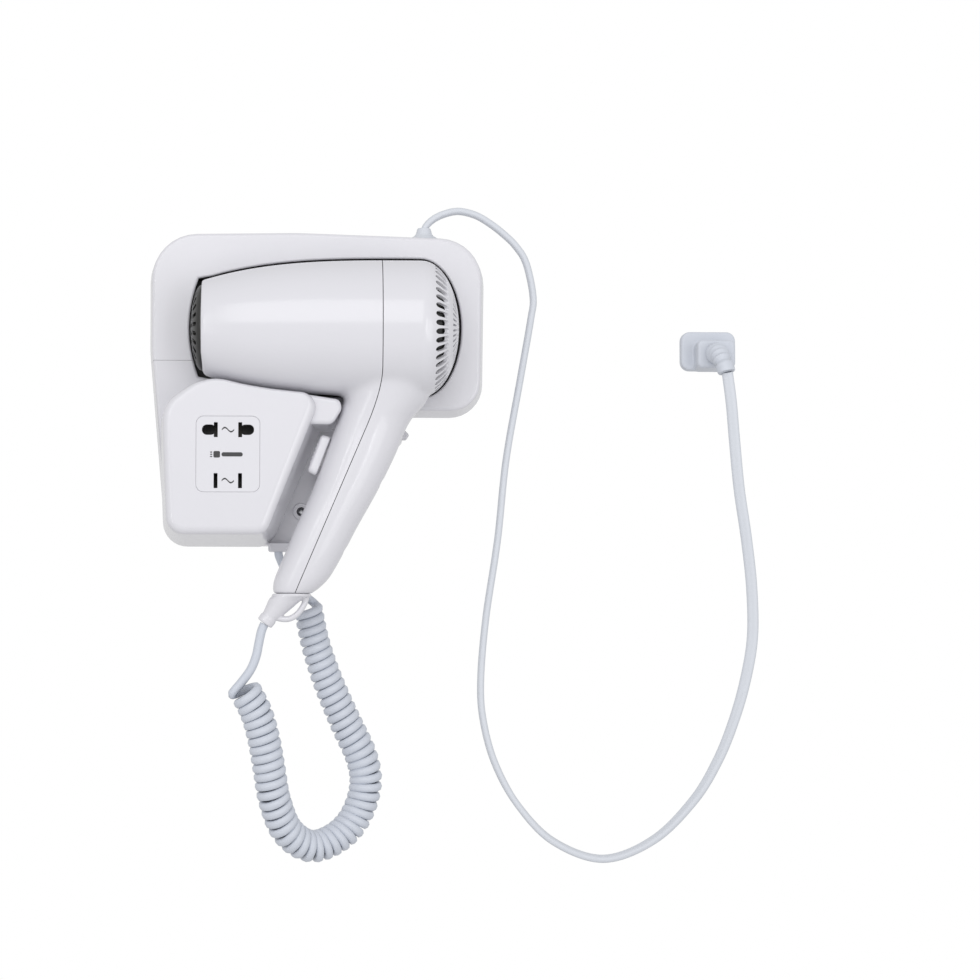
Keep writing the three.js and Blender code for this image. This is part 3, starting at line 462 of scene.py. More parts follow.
def turned_z(name, profile, x, y, sides=64):
    turns = [2 * math.pi * k / sides for k in range(sides)]
    return stack(name, [[(x + r * math.cos(a), y + r * math.sin(a), z) for a in turns] for z, r in profile])


def turned_y(name, profile, x, z, sides=48):
    turns = [2 * math.pi * k / sides for k in range(sides)]
    return stack(name, [[(x + r * math.cos(a), y, z + r * math.sin(a)) for a in turns] for y, r in profile])


print("helpers: stack, moulding, turned_x, turned_y, turned_z, cut, join, keep, melt, fit")

# %% [markdown]
# ## The mains cord
# The cord is a flat twin flex, 6 mm by 3.9 mm. It leaves the gland on the holder's top, arches to the right,
# hangs in one long loop and climbs to the plug. It could be a curve with a bevel, but a curve keeps its bevel
# upright only by luck on a loop, so the flex is a stack of oval rings along the route: each ring is carried on
# from the one before, and a slow turn shows the flex edge-on on the way down and flat on the way up.

# %% Routes
MAINS_ROUTE = [
    (57.8, -12, 83.6), (57.8, -12, 85.6), (58.6, -12, 87.8), (61.4, -11.5, 91), (66.5, -11, 94.2),
    (75.7, -11, 96.6), (85.4, -11, 94.6), (93.5, -11, 90), (101.1, -11, 84.1), (107.6, -11, 77.6),
    (113, -11, 68.5), (116.7, -11, 50.5), (115.4, -11, 38.1), (109.7, -11, 5.6), (102.1, -11, -37.6),
    (97.5, -11, -80.7), (91.1, -11, -123.6), (88.4, -11, -158.4), (90.3, -11.5, -180),
    (96.6, -12, -201.5), (108.4, -13, -222.6), (127, -15, -241.6), (153.5, -18, -250.8),
    (180.2, -21, -240.6), (201.4, -24, -219.5), (214, -27, -198.3), (222.3, -30, -177.1),
    (228.1, -33, -155.8), (231.6, -36, -133), (230.8, -40, -107), (227.6, -44, -81.1),
    (223.4, -48, -55), (220.6, -52, -30), (218.6, -55, -10), (216.5, -55.8, 5.6),
]
MAINS_WIDTH, MAINS_THICK = 6, 3.9


def smooth_line(route, step):
    """Points about step apart on a smooth curve through a route."""
    knots = [Vector(p) for p in route]
    knots = [knots[0] * 2 - knots[1], *knots, knots[-1] * 2 - knots[-2]]
    line = []
    for a, b, c, d in zip(knots, knots[1:], knots[2:], knots[3:]):
        count = max(2, round((c - b).length / step))
        for k in range(count):
            t = k / count
            line.append(
                0.5 * (2 * b + (c - a) * t + (2 * a - 5 * b + 4 * c - d) * t**2 + (3 * b - a - 3 * c + d) * t**3)
            )
    return line + [knots[-2]]


def length_of(line):
    return sum((b - a).length for a, b in zip(line, line[1:]))


def carried_rings(line, section, first_side):
    """Rings across a line. section(share) gives a ring's (side, rise) points; the side direction is carried on."""
    side = Vector(first_side)
    rings = []
    for i, point in enumerate(line):
        ahead = (line[min(i + 1, len(line) - 1)] - line[max(i - 1, 0)]).normalized()
        side = (side - ahead * side.dot(ahead)).normalized()
        rise = ahead.cross(side)
        rings.append([point + side * u + rise * v for u, v in section(i / (len(line) - 1))])
    return rings


def oval(wide, thick, turn=0.0, sides=20):
    points = []
    for k in range(sides):
        a = 2 * math.pi * k / sides
        u, v = wide / 2 * math.cos(a), thick / 2 * math.sin(a)
        points.append((u * math.cos(turn) - v * math.sin(turn), u * math.sin(turn) + v * math.cos(turn)))
    return points


def twin_section(share):
    """Two round cores side by side under one skin, with a shallow valley between them."""
    turn = math.radians(90) * min(1, max(0, (share - 0.5) / 0.3))
    ring = []
    for u, v in oval(2, 2, sides=28):
        waist = 1 - 0.12 * math.exp(-((u / 0.28) ** 2))
        x, y = u * MAINS_WIDTH / 2, math.copysign(abs(v) ** 0.8, v) * MAINS_THICK / 2 * waist
        ring.append((x * math.cos(turn) - y * math.sin(turn), x * math.sin(turn) + y * math.cos(turn)))
    return ring


mains_line = smooth_line(MAINS_ROUTE, 2.5)
mains_cord = stack("mains_flex", carried_rings(mains_line, twin_section, (0, 1, 0)))
fit(mains_cord, "holder", "cord_white", "mains_cord", angle=60)
print("mains flex", round(length_of(mains_line)), "mm long")

# %% [markdown]
# ## The curly cord
# One strand runs from the gland under the holder, winds up into a coil that hangs in a U, and straightens
# again on its way to the handle. The coil's middle line is the same route as the frame's, and a loop lays the
# turns round it, a little more than a strand apart. The strand crosses the joint between the holder and the
# handset as one mesh.

# %% The curly cord
COIL_ROUTE = [
    (-36.8, -45, -161.2), (-30.6, -45, -173.4), (-26.6, -45, -187.4), (-23.8, -44.5, -203),
    (-21, -43, -218.7), (-14.4, -38, -235), (-2.2, -31, -243.2), (11.2, -24, -239.2),
    (21.4, -18.5, -228.6), (26.9, -15.5, -212), (24.8, -14.3, -196.6), (15.7, -14, -177),
    (6.6, -14, -155.8), (0.2, -14, -136.6), (-3.9, -14, -117.6),
]
HANDSET_LEAD = [(-26.6, -45, -126.6), (-28.2, -45, -130.6), (-29.6, -45, -137.2), (-30.9, -45, -143.6), (-33.6, -45, -150.4), (-38, -45, -156.6)]
HOLDER_LEAD = [(-10.4, -14, -107), (-15.8, -14, -98), (-19, -14, -91), (-19.7, -14, -88.6), (-19.7, -14, -86.9)]
STRAND = 4.7
STRAND_FLATNESS = 0.8
COIL_RADIUS = (17.8 - STRAND) / 2
COIL_PITCH = 4.75
TURN_LEAN = 0.2
STRETCH = 0.14
TURN_POINTS = 30


def coil_line():
    middle = smooth_line(COIL_ROUTE, 1.0)
    reach = [0.0]
    for a, b in zip(middle, middle[1:]):
        reach.append(reach[-1] + (b - a).length)
    turns = round(reach[-1] / COIL_PITCH)
    side = Vector((-1, 0, 0))
    sides = []
    for a, b in zip(middle, middle[1:] + [middle[-1] * 2 - middle[-2]]):
        ahead = (b - a).normalized()
        side = (side - ahead * side.dot(ahead)).normalized()
        sides.append((side, ahead.cross(side)))
    line, spokes = [], []
    for k in range(turns * TURN_POINTS + 1):
        at = reach[-1] * k / (turns * TURN_POINTS)
        i = min(int(np.searchsorted(reach, at, side="right")) - 1, len(middle) - 2)
        share = (at - reach[i]) / (reach[i + 1] - reach[i])
        centre = middle[i].lerp(middle[i + 1], share)
        angle = 2 * math.pi * k / TURN_POINTS
        spoke = sides[i][0] * math.cos(angle) + sides[i][1] * math.sin(angle)
        pulled = min(1, max(0, (k / (turns * TURN_POINTS) - 0.66) / 0.34))
        radius = COIL_RADIUS * (1 - STRETCH * pulled * pulled * (3 - 2 * pulled))
        line.append(centre + radius * (spoke + Vector((0, 0, TURN_LEAN * spoke.y))))
        spokes.append(spoke)
    print("the curly cord has", turns, "turns")
    return line, spokes


coil, coil_spokes = coil_line()
lead_in = smooth_line([*HANDSET_LEAD, coil[0] + Vector((-0.6, 0, 1.2)), coil[2]], 1.2)[:-1]
strand_line = lead_in + coil[3:-3] + smooth_line([coil[-3], coil[-1] + Vector((0, 0, 2)), *HOLDER_LEAD], 1.2)


def round_cord(name, line, width):
    """A round cord along a line of close points: a curve with a round bevel, made a mesh."""
    curve = bpy.data.curves.new(name, "CURVE")
    curve.dimensions = "3D"
    spline = curve.splines.new("POLY")
    spline.points.add(len(line) - 1)
    for knot, point in zip(spline.points, line):
        knot.co = (*(point * MM), 1)
    curve.bevel_depth = width / 2 * MM
    curve.bevel_resolution = 2
    curve.use_fill_caps = True
    cord = bpy.data.objects.new(name, curve)
    bpy.context.scene.collection.objects.link(cord)
    only(cord)
    bpy.ops.object.convert(target="MESH")
    return bpy.context.active_object


def flatten(cord, line, spokes, first):
    """Presses each ring of a cord flat along its spoke: the skin of a wound strand is a soft-cornered band."""
    vertices = cord.data.vertices
    sides = len(vertices) // len(line)
    for i, spoke in enumerate(spokes):
        middle = line[first + i] * MM
        for vertex in vertices[(first + i) * sides:(first + i + 1) * sides]:
            offset = vertex.co - middle
            rise = offset.dot(spoke)
            flat = offset - spoke * rise
            reach = STRAND / 2 * MM
            squared = math.copysign(min(1, abs(rise) / reach) ** 0.7, rise) * reach * STRAND_FLATNESS
            vertex.co = middle + spoke * squared + flat * 1.03


strand = round_cord("curly_strand", strand_line, STRAND)
flatten(strand, strand_line, coil_spokes[3:-3], len(lead_in))
only(strand)
bpy.ops.object.shade_smooth()
clothe(strand, curly_white)
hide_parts("curly_coil", "curly_lead_handset", "curly_lead_holder")
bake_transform(strand)
print("curly strand", round(length_of(strand_line)), "mm long")

# %% [markdown]
# ## The handset's casing
# The barrel is a body of revolution and the handle a stack of ovals. Where they meet, the real moulding has a
# wide soft saddle. Bevelling that crossing curve is fragile, so the two are joined, remeshed evenly and
# smoothed a little all over, then smoothed much more in a band round the crossing. The casing is hollowed and
# then parted along the seam that runs down from the barrel into the handle.


# %% The barrel's and the handle's outlines
def barrel_radius(x, wall=0.0):
    if x <= DOME_START:
        share = (DOME_START - x) / (DOME_START - BARREL_FRONT)
        return TAIL_RADIUS - (TAIL_RADIUS - NOSE_RADIUS) * share**TAPER_POWER - wall
    along = (x - DOME_START) / (DOME_LENGTH - wall)
    return (TAIL_RADIUS - wall) * math.sqrt(max(0.0, 1 - along * along))


def barrel_profile(wall, front):
    profile = [(front, barrel_radius(front, wall))]
    profile += [(x, barrel_radius(x, wall)) for x in np.linspace(front + 3, DOME_START, 22)]
    for turn in np.radians(range(6, 90, 6)):
        profile.append((DOME_START + (DOME_LENGTH - wall) * math.sin(turn), (TAIL_RADIUS - wall) * math.cos(turn)))
    return profile


# height, left side, right side, half depth
HANDLE_SECTIONS = [
    (8, 21, 64, 24), (-9, 14.6, 58.5, 19), (-20, 11.2, 49.5, 16.6), (-38.4, 4.7, 41.5, 15.6),
    (-57.7, -2.4, 32, 15), (-76.2, -10.6, 21.7, 14.4), (-91.7, -16.8, 13.6, 13.6),
    (-102.8, -21.4, 7, 12.4), (-108.4, -22.3, 1.4, 11), (-110.8, -21.6, -2.4, 10),
]


def handle_at(height):
    """Left side, right side and half depth at a height, on smooth curves through the sections."""
    heights = [s[0] for s in HANDLE_SECTIONS]
    i = min(max(sum(h >= height for h in heights) - 1, 0), len(heights) - 2)
    t = (height - heights[i]) / (heights[i + 1] - heights[i])
    a, b = HANDLE_SECTIONS[i], HANDLE_SECTIONS[i + 1]
    before, after = HANDLE_SECTIONS[max(i - 1, 0)], HANDLE_SECTIONS[min(i + 2, len(heights) - 1)]
    found = []
    for column in range(1, 4):
        slope_a = (b[column] - before[column]) / (b[0] - before[0]) * (b[0] - a[0])
        slope_b = (after[column] - a[column]) / (after[0] - a[0]) * (b[0] - a[0])
        found.append(
            a[column] * (1 + 2 * t) * (1 - t) ** 2 + slope_a * t * (1 - t) ** 2
            + b[column] * t * t * (3 - 2 * t) - slope_b * t * t * (1 - t)
        )
    return found


def handle_rings(wall, sides=64):
    rings = []
    lowest = HANDLE_SECTIONS[-1][0] + wall
    for z in [*np.linspace(HANDLE_SECTIONS[0][0], -100, 30), *np.linspace(-102, lowest, 8)]:
        left, right, deep = handle_at(float(z))
        wide = (right - left) / 2 - wall / math.cos(HANDLE_TILT)
        turns = [2 * math.pi * k / sides for k in range(sides)]
        middle = (left + right) / 2
        rings.append([(middle + wide * math.cos(a), BARREL.y + (deep - wall) * math.sin(a), z) for a in turns])
    return rings


print("handle at -60:", [round(v, 1) for v in handle_at(-60)])


# %% The casing
def soften_crossing(piece, lowest, highest, rounds):
    """Smooths the band of a piece between two heights, fading out at its ends."""
    band = piece.vertex_groups.new(name="crossing")
    fade = 6
    for vertex in piece.data.vertices:
        z = vertex.co.z / MM
        weight = min(1, (z - lowest) / fade, (highest - z) / fade)
        if weight > 0 and vertex.co.x / MM < DOME_START:
            band.add([vertex.index], weight, "REPLACE")
    modify(piece, "SMOOTH", factor=0.5, iterations=rounds, vertex_group="crossing")
    piece.vertex_groups.clear()


casing = join(turned_x("casing", barrel_profile(0, BARREL_FRONT), BARREL, 128), stack("grip", handle_rings(0)))
melt(casing, 0.95, 4)
soften_crossing(casing, -16, 14, 70)
hollow = join(
    turned_x("hollow", barrel_profile(SHELL_WALL, BARREL_FRONT - 1), BARREL), stack("grip_hollow", handle_rings(SHELL_WALL))
)
CORD_HOLE = (-12, BARREL.y)
cord_bore = turned_z("cord_bore", [(-104, 4.2), (-116, 4.2)], *CORD_HOLE)
cut(casing, hollow, cord_bore)
print("casing", len(casing.data.polygons), "faces")

# %% [markdown]
# The tail dome has three rings of slots, each slot drawn straight back along the barrel as the tool's pins
# are. One slot is a stack along X with round ends. It is copied round the axis, and the copies are joined into
# one cutter, so that a single boolean cuts the whole ring.


# %% Slots round the barrel's axis
def slot_ring(name, count, inner, outer, width, front, back, start=0.0):
    """One cutter made of count round-ended slots, from radius inner to outer, along X from front to back."""
    outline = rounded(rectangle(0, (inner + outer) / 2, width, outer - inner, width / 2 - 0.01), steps=5)
    copies = []
    for k in range(count):
        swing = Matrix.Rotation(start + 2 * math.pi * k / count, 2)
        spots = [swing @ p for p in outline]
        if k == 0:
            rings = [[(x, BARREL.y + p.x, BARREL.z + p.y) for p in spots] for x in (front, back)]
            copies.append(stack(name, rings))
            continue
        twin = copy_of(copies[0], name)
        turn = Matrix.Translation(BARREL * MM) @ Matrix.Rotation(2 * math.pi * k / count, 4, "X")
        twin.data.transform(turn @ Matrix.Translation(-BARREL * MM))
        copies.append(twin)
    bpy.ops.object.select_all(action="DESELECT")
    for copy in copies:
        copy.select_set(True)
    bpy.context.view_layer.objects.active = copies[0]
    bpy.ops.object.join()
    return copies[0]


INTAKE_RINGS = [(44, 26, 33.8, 3), (44, 14, 21.2, 1.05), (22, 7.4, 12, 1.1)]
SEAM_X = 34.7
SEAM_BEND = (27, -22.6)


def front_of_seam(shift):
    """Everything in front of the seam, which is moved by shift towards the tail."""
    bend_x, bend_z = SEAM_BEND
    foot = -140
    low = bend_x + (foot - bend_z) * math.tan(HANDLE_TILT)
    turn = []
    for t in np.linspace(0, 1, 9):
        x = bend_x * (1 - t) ** 2 + SEAM_X * (1 - (1 - t) ** 2)
        turn.append((x + shift, bend_z * (1 - t) ** 2 - 4 * 2 * t * (1 - t) + 6 * t * t))
    points = [(-120, foot), (low + shift, foot), *turn, (SEAM_X + shift, 90), (-120, 90)]
    return stack("front_share", [[(x, y, z) for x, z in points] for y in (10, -110)])


KNOB_PLACE = Vector((4.6, BARREL.y, -38.9))
KNOB_TILT = math.radians(21)
KNOB_TRAVEL = 8


def at_slider(out, across, along):
    """A point given in the slider's own directions: out of the handle, across it and up along it."""
    outwards = Vector((-math.cos(KNOB_TILT), 0, math.sin(KNOB_TILT)))
    upwards = Vector((math.sin(KNOB_TILT), 0, math.cos(KNOB_TILT)))
    return KNOB_PLACE + outwards * out + Vector((0, across, 0)) + upwards * along


def slider_stack(name, width, length, corner, levels, low=0.0):
    """A rounded slab whose levels are (out, grow)."""
    return stack(
        name,
        [[at_slider(out, x, z) for x, z in rounded(rectangle(0, low, width, length, corner), grow)] for out, grow in levels],
    )


front_shell = keep(copy_of(casing, "front_casing"), front_of_seam(-SEAM_GAP / 2))
rear_shell = cut(casing, front_of_seam(SEAM_GAP / 2))
rear_shell.name = "rear_casing"
slider_slot = slider_stack("slider_slot", 4, 21, 1.9, [(-8, 0), (6, 0)], low=-KNOB_TRAVEL / 2)
cut(front_shell, slider_slot)
for count, inner, outer, width in INTAKE_RINGS:
    cut(rear_shell, slot_ring("intake_slots", count, inner, outer, width, DOME_START, DOME_START + 30))
SCREW_HEIGHTS = (-52, -88)
for height in SCREW_HEIGHTS:
    bore = turned_x("screw_bore", [(-6, 3.1), (6, 3.1)], Vector((0, 0, 0)), 32)
    side = handle_at(height)[1]
    bore.data.transform(Matrix.Translation(Vector((side, BARREL.y, height)) * MM) @ Matrix.Rotation(HANDLE_TILT, 4, "Y"))
    cut(rear_shell, bore)
fit(front_shell, "handset", "gloss_white", "front_shell", angle=40)
fit(rear_shell, "handset", "gloss_white", "rear_shell", angle=40)

# %% [markdown]
# ## The holder
# The holder is two covers over one back plate: a frame 24 mm deep with a recess in the dryer's own outline, and
# below it a socket box, a floor for the handle's channel and a tongue beside the box. Each is a moulding with
# its own outline. The recess is cut by a moulding too, one that opens out at the front so that it leaves a soft
# lip. The two covers are the same solid, shared out along their parting line.

# %% Outlines of the holder
HOLDER = [
    (-80.3, -84, 14), (-30, -84, 5), (-12, -14.3, 6), (89.5, -14.3, 18),
    (90.8, 81.6, 25), (-10, 84.8, 200), (-89.3, 83.6, 26), (-89.2, 20, 100),
]
CHANNEL_FLOOR = [(-80.3, -84, 14), (-4, -84, 5), (46.4, -28, 3), (46.4, -14.7, 2), (-84.6, -14.7, 2)]
LUG = [(43.5, -26.8, 1), (48.4, -26.8, 1.4), (50.2, -24.2, 1.2), (46.8, -20.6, 1.4), (43.5, -20.6, 1)]
CRADLE_GAP = 1.4
SHELF_GAP = 1.2
CRADLE_MIDDLE = BARREL.z + 2.5
COVER_WALL = 2
LINER_WALL = 1.6


def shelf_height(x):
    return BARREL.z - barrel_radius(x) - SHELF_GAP


EDGE_GROW = 0.3
ROOT_GROW = 3.9


def socket_box(grow):
    """The box's outline. Its top doesn't lean as the other sides do: it follows the barrel above it."""
    rise = 0.25 * (ROOT_GROW - max(grow, EDGE_GROW)) - 0.4 * max(0, EDGE_GROW - grow) - grow
    top = [(x, shelf_height(x) + rise, corner) for x, corner in ((3, 8), (-10, 120), (-24, 120), (-38, 120), (-57.5, 26))]
    return rounded([(-77.2, -80.1, 9), (-26.3, -80.2, 7), *top, (-79.8, -12.5, 16), (-79.4, -29.6, 60)], grow)


TONGUE = [
    (-12, -22.2, 2), (8.6, -22.4, 5), (13.6, -14.4, 4.4), (12.6, -9.3, 3.4), (-6, -6.4, 2), (-12, -6.4, 2),
]


def recess(grow):
    """The dryer-shaped hole: the nose's bulge, the barrel's underside, the tail dome and the barrel's top."""
    gap = CRADLE_GAP + grow
    corner = BARREL_FRONT - 2.6 - grow
    high = barrel_radius(BARREL_FRONT) + gap
    bulge = 2 * (-67.5 - grow) - corner
    points = []
    for t in np.linspace(0, 1, 15)[:-1]:
        x = corner * ((1 - t) ** 2 + t * t) + bulge * 2 * t * (1 - t)
        points.append((x, CRADLE_MIDDLE + high * (1 - 2 * t)))
    stations = [float(x) for x in np.linspace(corner, DOME_START, 18)]
    radii = [barrel_radius(max(x, BARREL_FRONT)) + gap for x in stations]
    points += [(x, CRADLE_MIDDLE - r) for x, r in zip(stations, radii)]
    dome = DOME_LENGTH + gap + 0.7
    for turn in np.radians(range(-84, 90, 6)):
        points.append((DOME_START + dome * math.cos(turn), CRADLE_MIDDLE + (TAIL_RADIUS + gap) * math.sin(turn)))
    points += [(x, CRADLE_MIDDLE + r) for x, r in zip(stations[:0:-1], radii[:0:-1])]
    return points


COVER_SEAM = 14
SPLIT_X = 14.5


COVER_GAP = 0.16


def lower_share(clear):
    """Everything that belongs to the lower cover, on the near side of the parting line."""
    right, top = SPLIT_X + clear, COVER_SEAM + clear
    outline = [(-120, -120), (right, -120), (right, top), (-120, top)]
    return stack("lower_share", [[(x, y, z) for x, z in outline] for y in (5, -FRAME_DEPTH - 5)])


print("recess outline", len(recess(0)), "points")

# %% The frame, its recess and its two shares
frame_levels = softened(0, -FRAME_DEPTH, 4, 2)
frame_body = moulding("frame_body", HOLDER, frame_levels)
frame_hollow = moulding("frame_hollow", HOLDER, [(1, -COVER_WALL), (COVER_WALL - FRAME_DEPTH, -4 - COVER_WALL)])
liner_room = moulding("liner_room", recess, straight(2, COVER_WALL - FRAME_DEPTH - 1, LINER_WALL + COVER_WALL + 0.6))
cut(frame_body, cut(frame_hollow, liner_room))
cut(frame_body, moulding("liner_bed", recess, straight(1, COVER_WALL - FRAME_DEPTH, LINER_WALL + 0.6)))
cut(frame_body, moulding("recess_cut", recess, opening(1, -FRAME_DEPTH, 1.1)))

MAINS_GLAND = (57.8, -12)
upper_cover = cut(copy_of(frame_body, "upper_frame"), lower_share(COVER_GAP / 2))
cut(upper_cover, turned_z("gland_hole", [(70, 6.7), (90, 6.7)], *MAINS_GLAND))
fit(upper_cover, "holder", "gloss_white", "upper_cover", angle=40)

# %% [markdown]
# The lower cover is the frame's lower share with the socket box, the channel floor, the tongue and the lug
# joined on. The box's sides sweep out in a small curve where they land on the frame, which the level list
# gives: the last lean of a side before it lands is wide.

# %% The lower cover
lower_cover = keep(frame_body, lower_share(-COVER_GAP / 2))
lower_cover.name = "lower_frame"
box_levels = [(-3.2, 4.2), *softened(-10, -BOX_DEPTH, 8, 4.4, ROOT_GROW)]
channel_levels = [(-0.2, 0), (-8.8, -0.4), (-9.6, -0.9), (-10, -1.8)]
tongue_levels = softened(-3.2, -57, 2.6, 2.2, 0.4)
join(
    lower_cover,
    moulding("channel_floor", CHANNEL_FLOOR, channel_levels),
    moulding("lug", LUG, [(-2, -0.3), (-2.4, 0), (-7.4, 0), (-8, -0.5)]),
    moulding("socket_box", socket_box, box_levels),
    moulding("tongue", TONGUE, tongue_levels),
)
BOX_WALL = 2.2
box_levels = [(1, ROOT_GROW - BOX_WALL), (BOX_WALL - BOX_DEPTH, -4.1 - BOX_WALL)]
cut(lower_cover, moulding("box_hollow", lambda grow: [(x, z - BOX_WALL) for x, z in socket_box(grow)], box_levels))
cut(lower_cover, moulding("tongue_hollow", TONGUE, straight(1, BOX_WALL - 57, -BOX_WALL)))
cut(lower_cover, moulding("recess_cut", recess, opening(1, -FRAME_DEPTH, 1.1)))
PANEL = (-45.7, -38.6, 33.2, 39.6, 4)
cut(lower_cover, moulding("panel_hole", rectangle(*PANEL), opening(-50, -BOX_DEPTH, 0.22, 0.05)))
PLUNGER = (-30, -37)
cut(lower_cover, turned_z("plunger_hole", [(-20, 2.9), (12, 2.9)], *PLUNGER))
print("lower cover", len(lower_cover.data.polygons), "faces")

# %% [markdown]
# In the channel beside the handle a round boss takes the screw that holds the cover to the plate, and a thin
# raised line runs down to it, which stiffens the floor.

# %% Boss, rib and screw in the channel
BOSS = (-7.8, -65.8)
boss_profile = [(-8.5, 4.6), (-10.4, 4.6), (-10.9, 4.2), (-11, 3.6)]
join(lower_cover, turned_y("boss", boss_profile, *BOSS))
cut(lower_cover, turned_y("screw_bore", [(-3, 2.4), (-12, 2.4)], *BOSS))
rib_line = smooth_line([(8, -9.7, -34), (2.5, -9.7, -44), (-1, -9.7, -54), (-3.6, -9.7, -62)], 1.5)
join(lower_cover, stack("floor_rib", carried_rings(rib_line, lambda share: oval(1.2, 1.6, sides=10), (1, 0, 0))))
fit(lower_cover, "holder", "gloss_white", "lower_cover", angle=40)

# %% The black liner behind the handset, a dark sheet that paints the shade in the gap round the barrel
# The liner's black is painted shade: it darkens the deep gap between the barrel and the recess.
liner = moulding("shade_liner_shell", recess, straight(-4.8, 2.3 - FRAME_DEPTH, LINER_WALL + 0.3))
cut(liner, moulding("cradle_room", recess, opening(-4.8 - LINER_WALL, 2.3 - FRAME_DEPTH, 0.5, 0.3)))
fit(liner, "holder", "black_plastic", "cradle_liner")

# %% [markdown]
# ## The shaver socket
# The face is a separate plate, let into the box with a hairline gap. Its upper pair of holes takes flat or
# round pins, its lower pair flat pins only. The holes are cut by rounded slabs. Between the holes are printed
# signs of no maker's: a wave for alternating current, and a little shaver. Text would need a font, and the
# signs say the same to everyone. They are outlines raised by a twentieth of a millimetre, as ink is.

# %% Socket face
socket_face = moulding("shaver_panel", rectangle(*PANEL), softened(2.4 - BOX_DEPTH, -BOX_DEPTH, 0.25, 0.22))
PIN_PITCH = 12.7
UPPER_ROW, LOWER_ROW = PANEL[1] + 12.7, PANEL[1] - 13.9
FACE_CUT = opening(5 - BOX_DEPTH, -BOX_DEPTH, 0.2)
for side in (-1, 1):
    slot_x = PANEL[0] + side * PIN_PITCH / 2
    for row in (UPPER_ROW, LOWER_ROW):
        cut(socket_face, moulding("pin_slot", rectangle(slot_x, row, 2, 7.8, 0.25), FACE_CUT))
    reach = 7.2
    pin_bed = rectangle(slot_x + side * reach / 2, row + UPPER_ROW - LOWER_ROW, reach, 5.4, 2.6)
    cut(socket_face, moulding("round_pin_hole", pin_bed, FACE_CUT))
fit(socket_face, "holder", "gloss_white", "socket_face", material=satin_white)

# %% Printed signs
ink = moulded("sign_ink", (0.03, 0.03, 0.032), (0.05, 0.05, 0.052), 0.5)
INK_FRONT = -BOX_DEPTH - 0.05


def printed(name, shape):
    """A flat sign: an outline as a thin plate on the face."""
    sign = stack(name, [[(x, y, z) for x, z in shape] for y in (0.1 - BOX_DEPTH, INK_FRONT)])
    return fit(sign, "holder", "gloss_white", material=ink)


def wave(x, z, width, height, pen):
    """A band along one period of a sine wave."""
    turns = np.linspace(0, 2 * math.pi, 25)
    middle = [(x + width * (t / (2 * math.pi) - 0.5), z + height / 2 * math.sin(t)) for t in turns]
    return [(u, v - pen / 2) for u, v in middle] + [(u, v + pen / 2) for u, v in reversed(middle)]


printed("wave_sign_upper", wave(PANEL[0], UPPER_ROW, 6.4, 2.2, 0.8))
printed("wave_sign_lower", wave(PANEL[0], LOWER_ROW, 6.4, 2.2, 0.8))
shaver_z = PANEL[1] - 0.2
printed("shaver_sign_body", rounded(rectangle(PANEL[0] + 2.2, shaver_z, 11, 2.2, 1)))
printed("shaver_sign_head", rounded(rectangle(PANEL[0] - 5.8, shaver_z, 3.4, 3.4, 0.7)))
for k in range(3):
    printed(f"shaver_sign_blade_{k + 1}", rounded(rectangle(PANEL[0] - 8.7, shaver_z + (k - 1) * 1.15, 1.1, 0.6, 0.25)))

# %% [markdown]
# ## The handset's small pieces
# The outlet grille is a cap: one skin goes out over the domed face and comes back inside it, and ring after
# ring of slots is cut through it. The slider's top is a slab whose edges are rounded over in three levels, with
# five grip ribs across it, because a thumb has to find it without looking.

# %% Outlet grille
OUTLET_RADIUS = barrel_radius(BARREL_FRONT, SHELL_WALL + 0.3)
outlet_profile = []
for share in (0.04, 0.25, 0.5, 0.7, 0.84, 0.93, 0.98, 1):
    outlet_profile.append((BARREL_FRONT - 6 * math.sqrt(1 - share * share), OUTLET_RADIUS * share))
outlet_profile += [(BARREL_FRONT + 7, OUTLET_RADIUS), (BARREL_FRONT + 7, OUTLET_RADIUS - 1.4)]
for share in (1, 0.96, 0.9, 0.8, 0.6, 0.3, 0.04):
    outlet_profile.append((BARREL_FRONT + 1.4 - 6 * math.sqrt(1 - share * share), (OUTLET_RADIUS - 1.4) * share))
outlet_grille = turned_x("grille_cap", outlet_profile, BARREL)
for count, inner, outer, width in [(24, 14.6, 20.4, 2.2), (16, 8.2, 12.8, 1.9), (8, 3, 6.6, 1.6)]:
    cut(outlet_grille, slot_ring("outlet_slots", count, inner, outer, width, BARREL_FRONT - 9, BARREL_FRONT + 4))
fit(outlet_grille, "handset", "black_plastic", "outlet_grille")

# %% Speed slider
KNOB_LEVELS = [(0.5, -0.9), (0.9, -0.3), (1.6, 0), (4.4, -0.2), (5.2, -0.7), (5.7, -1.5), (5.9, -2.6)]
speed_knob = slider_stack("slider_top", 9.4, 21.6, 2.6, KNOB_LEVELS)
join(speed_knob, slider_stack("slider_stem", 3, 11, 0.5, [(1, 0), (-5, 0)]))
for k in range(5):
    rib = [(5.3, 0), (6.05, -0.15), (6.25, -0.4)]
    join(speed_knob, slider_stack("slider_rib", 5.6, 1.3, 0.5, rib, low=2.4 * (k - 2)))
fit(speed_knob, "slider", "gloss_white", "speed_knob", angle=50)

# %% [markdown]
# The boot under the handle is one soft moulding: a flange as wide as the handle, a throat that turns towards the
# cord, a collar, and a crescent for hanging the handset on a hook. Its solids are joined, then melted together,
# which gives the fillets that a rubber mould has.

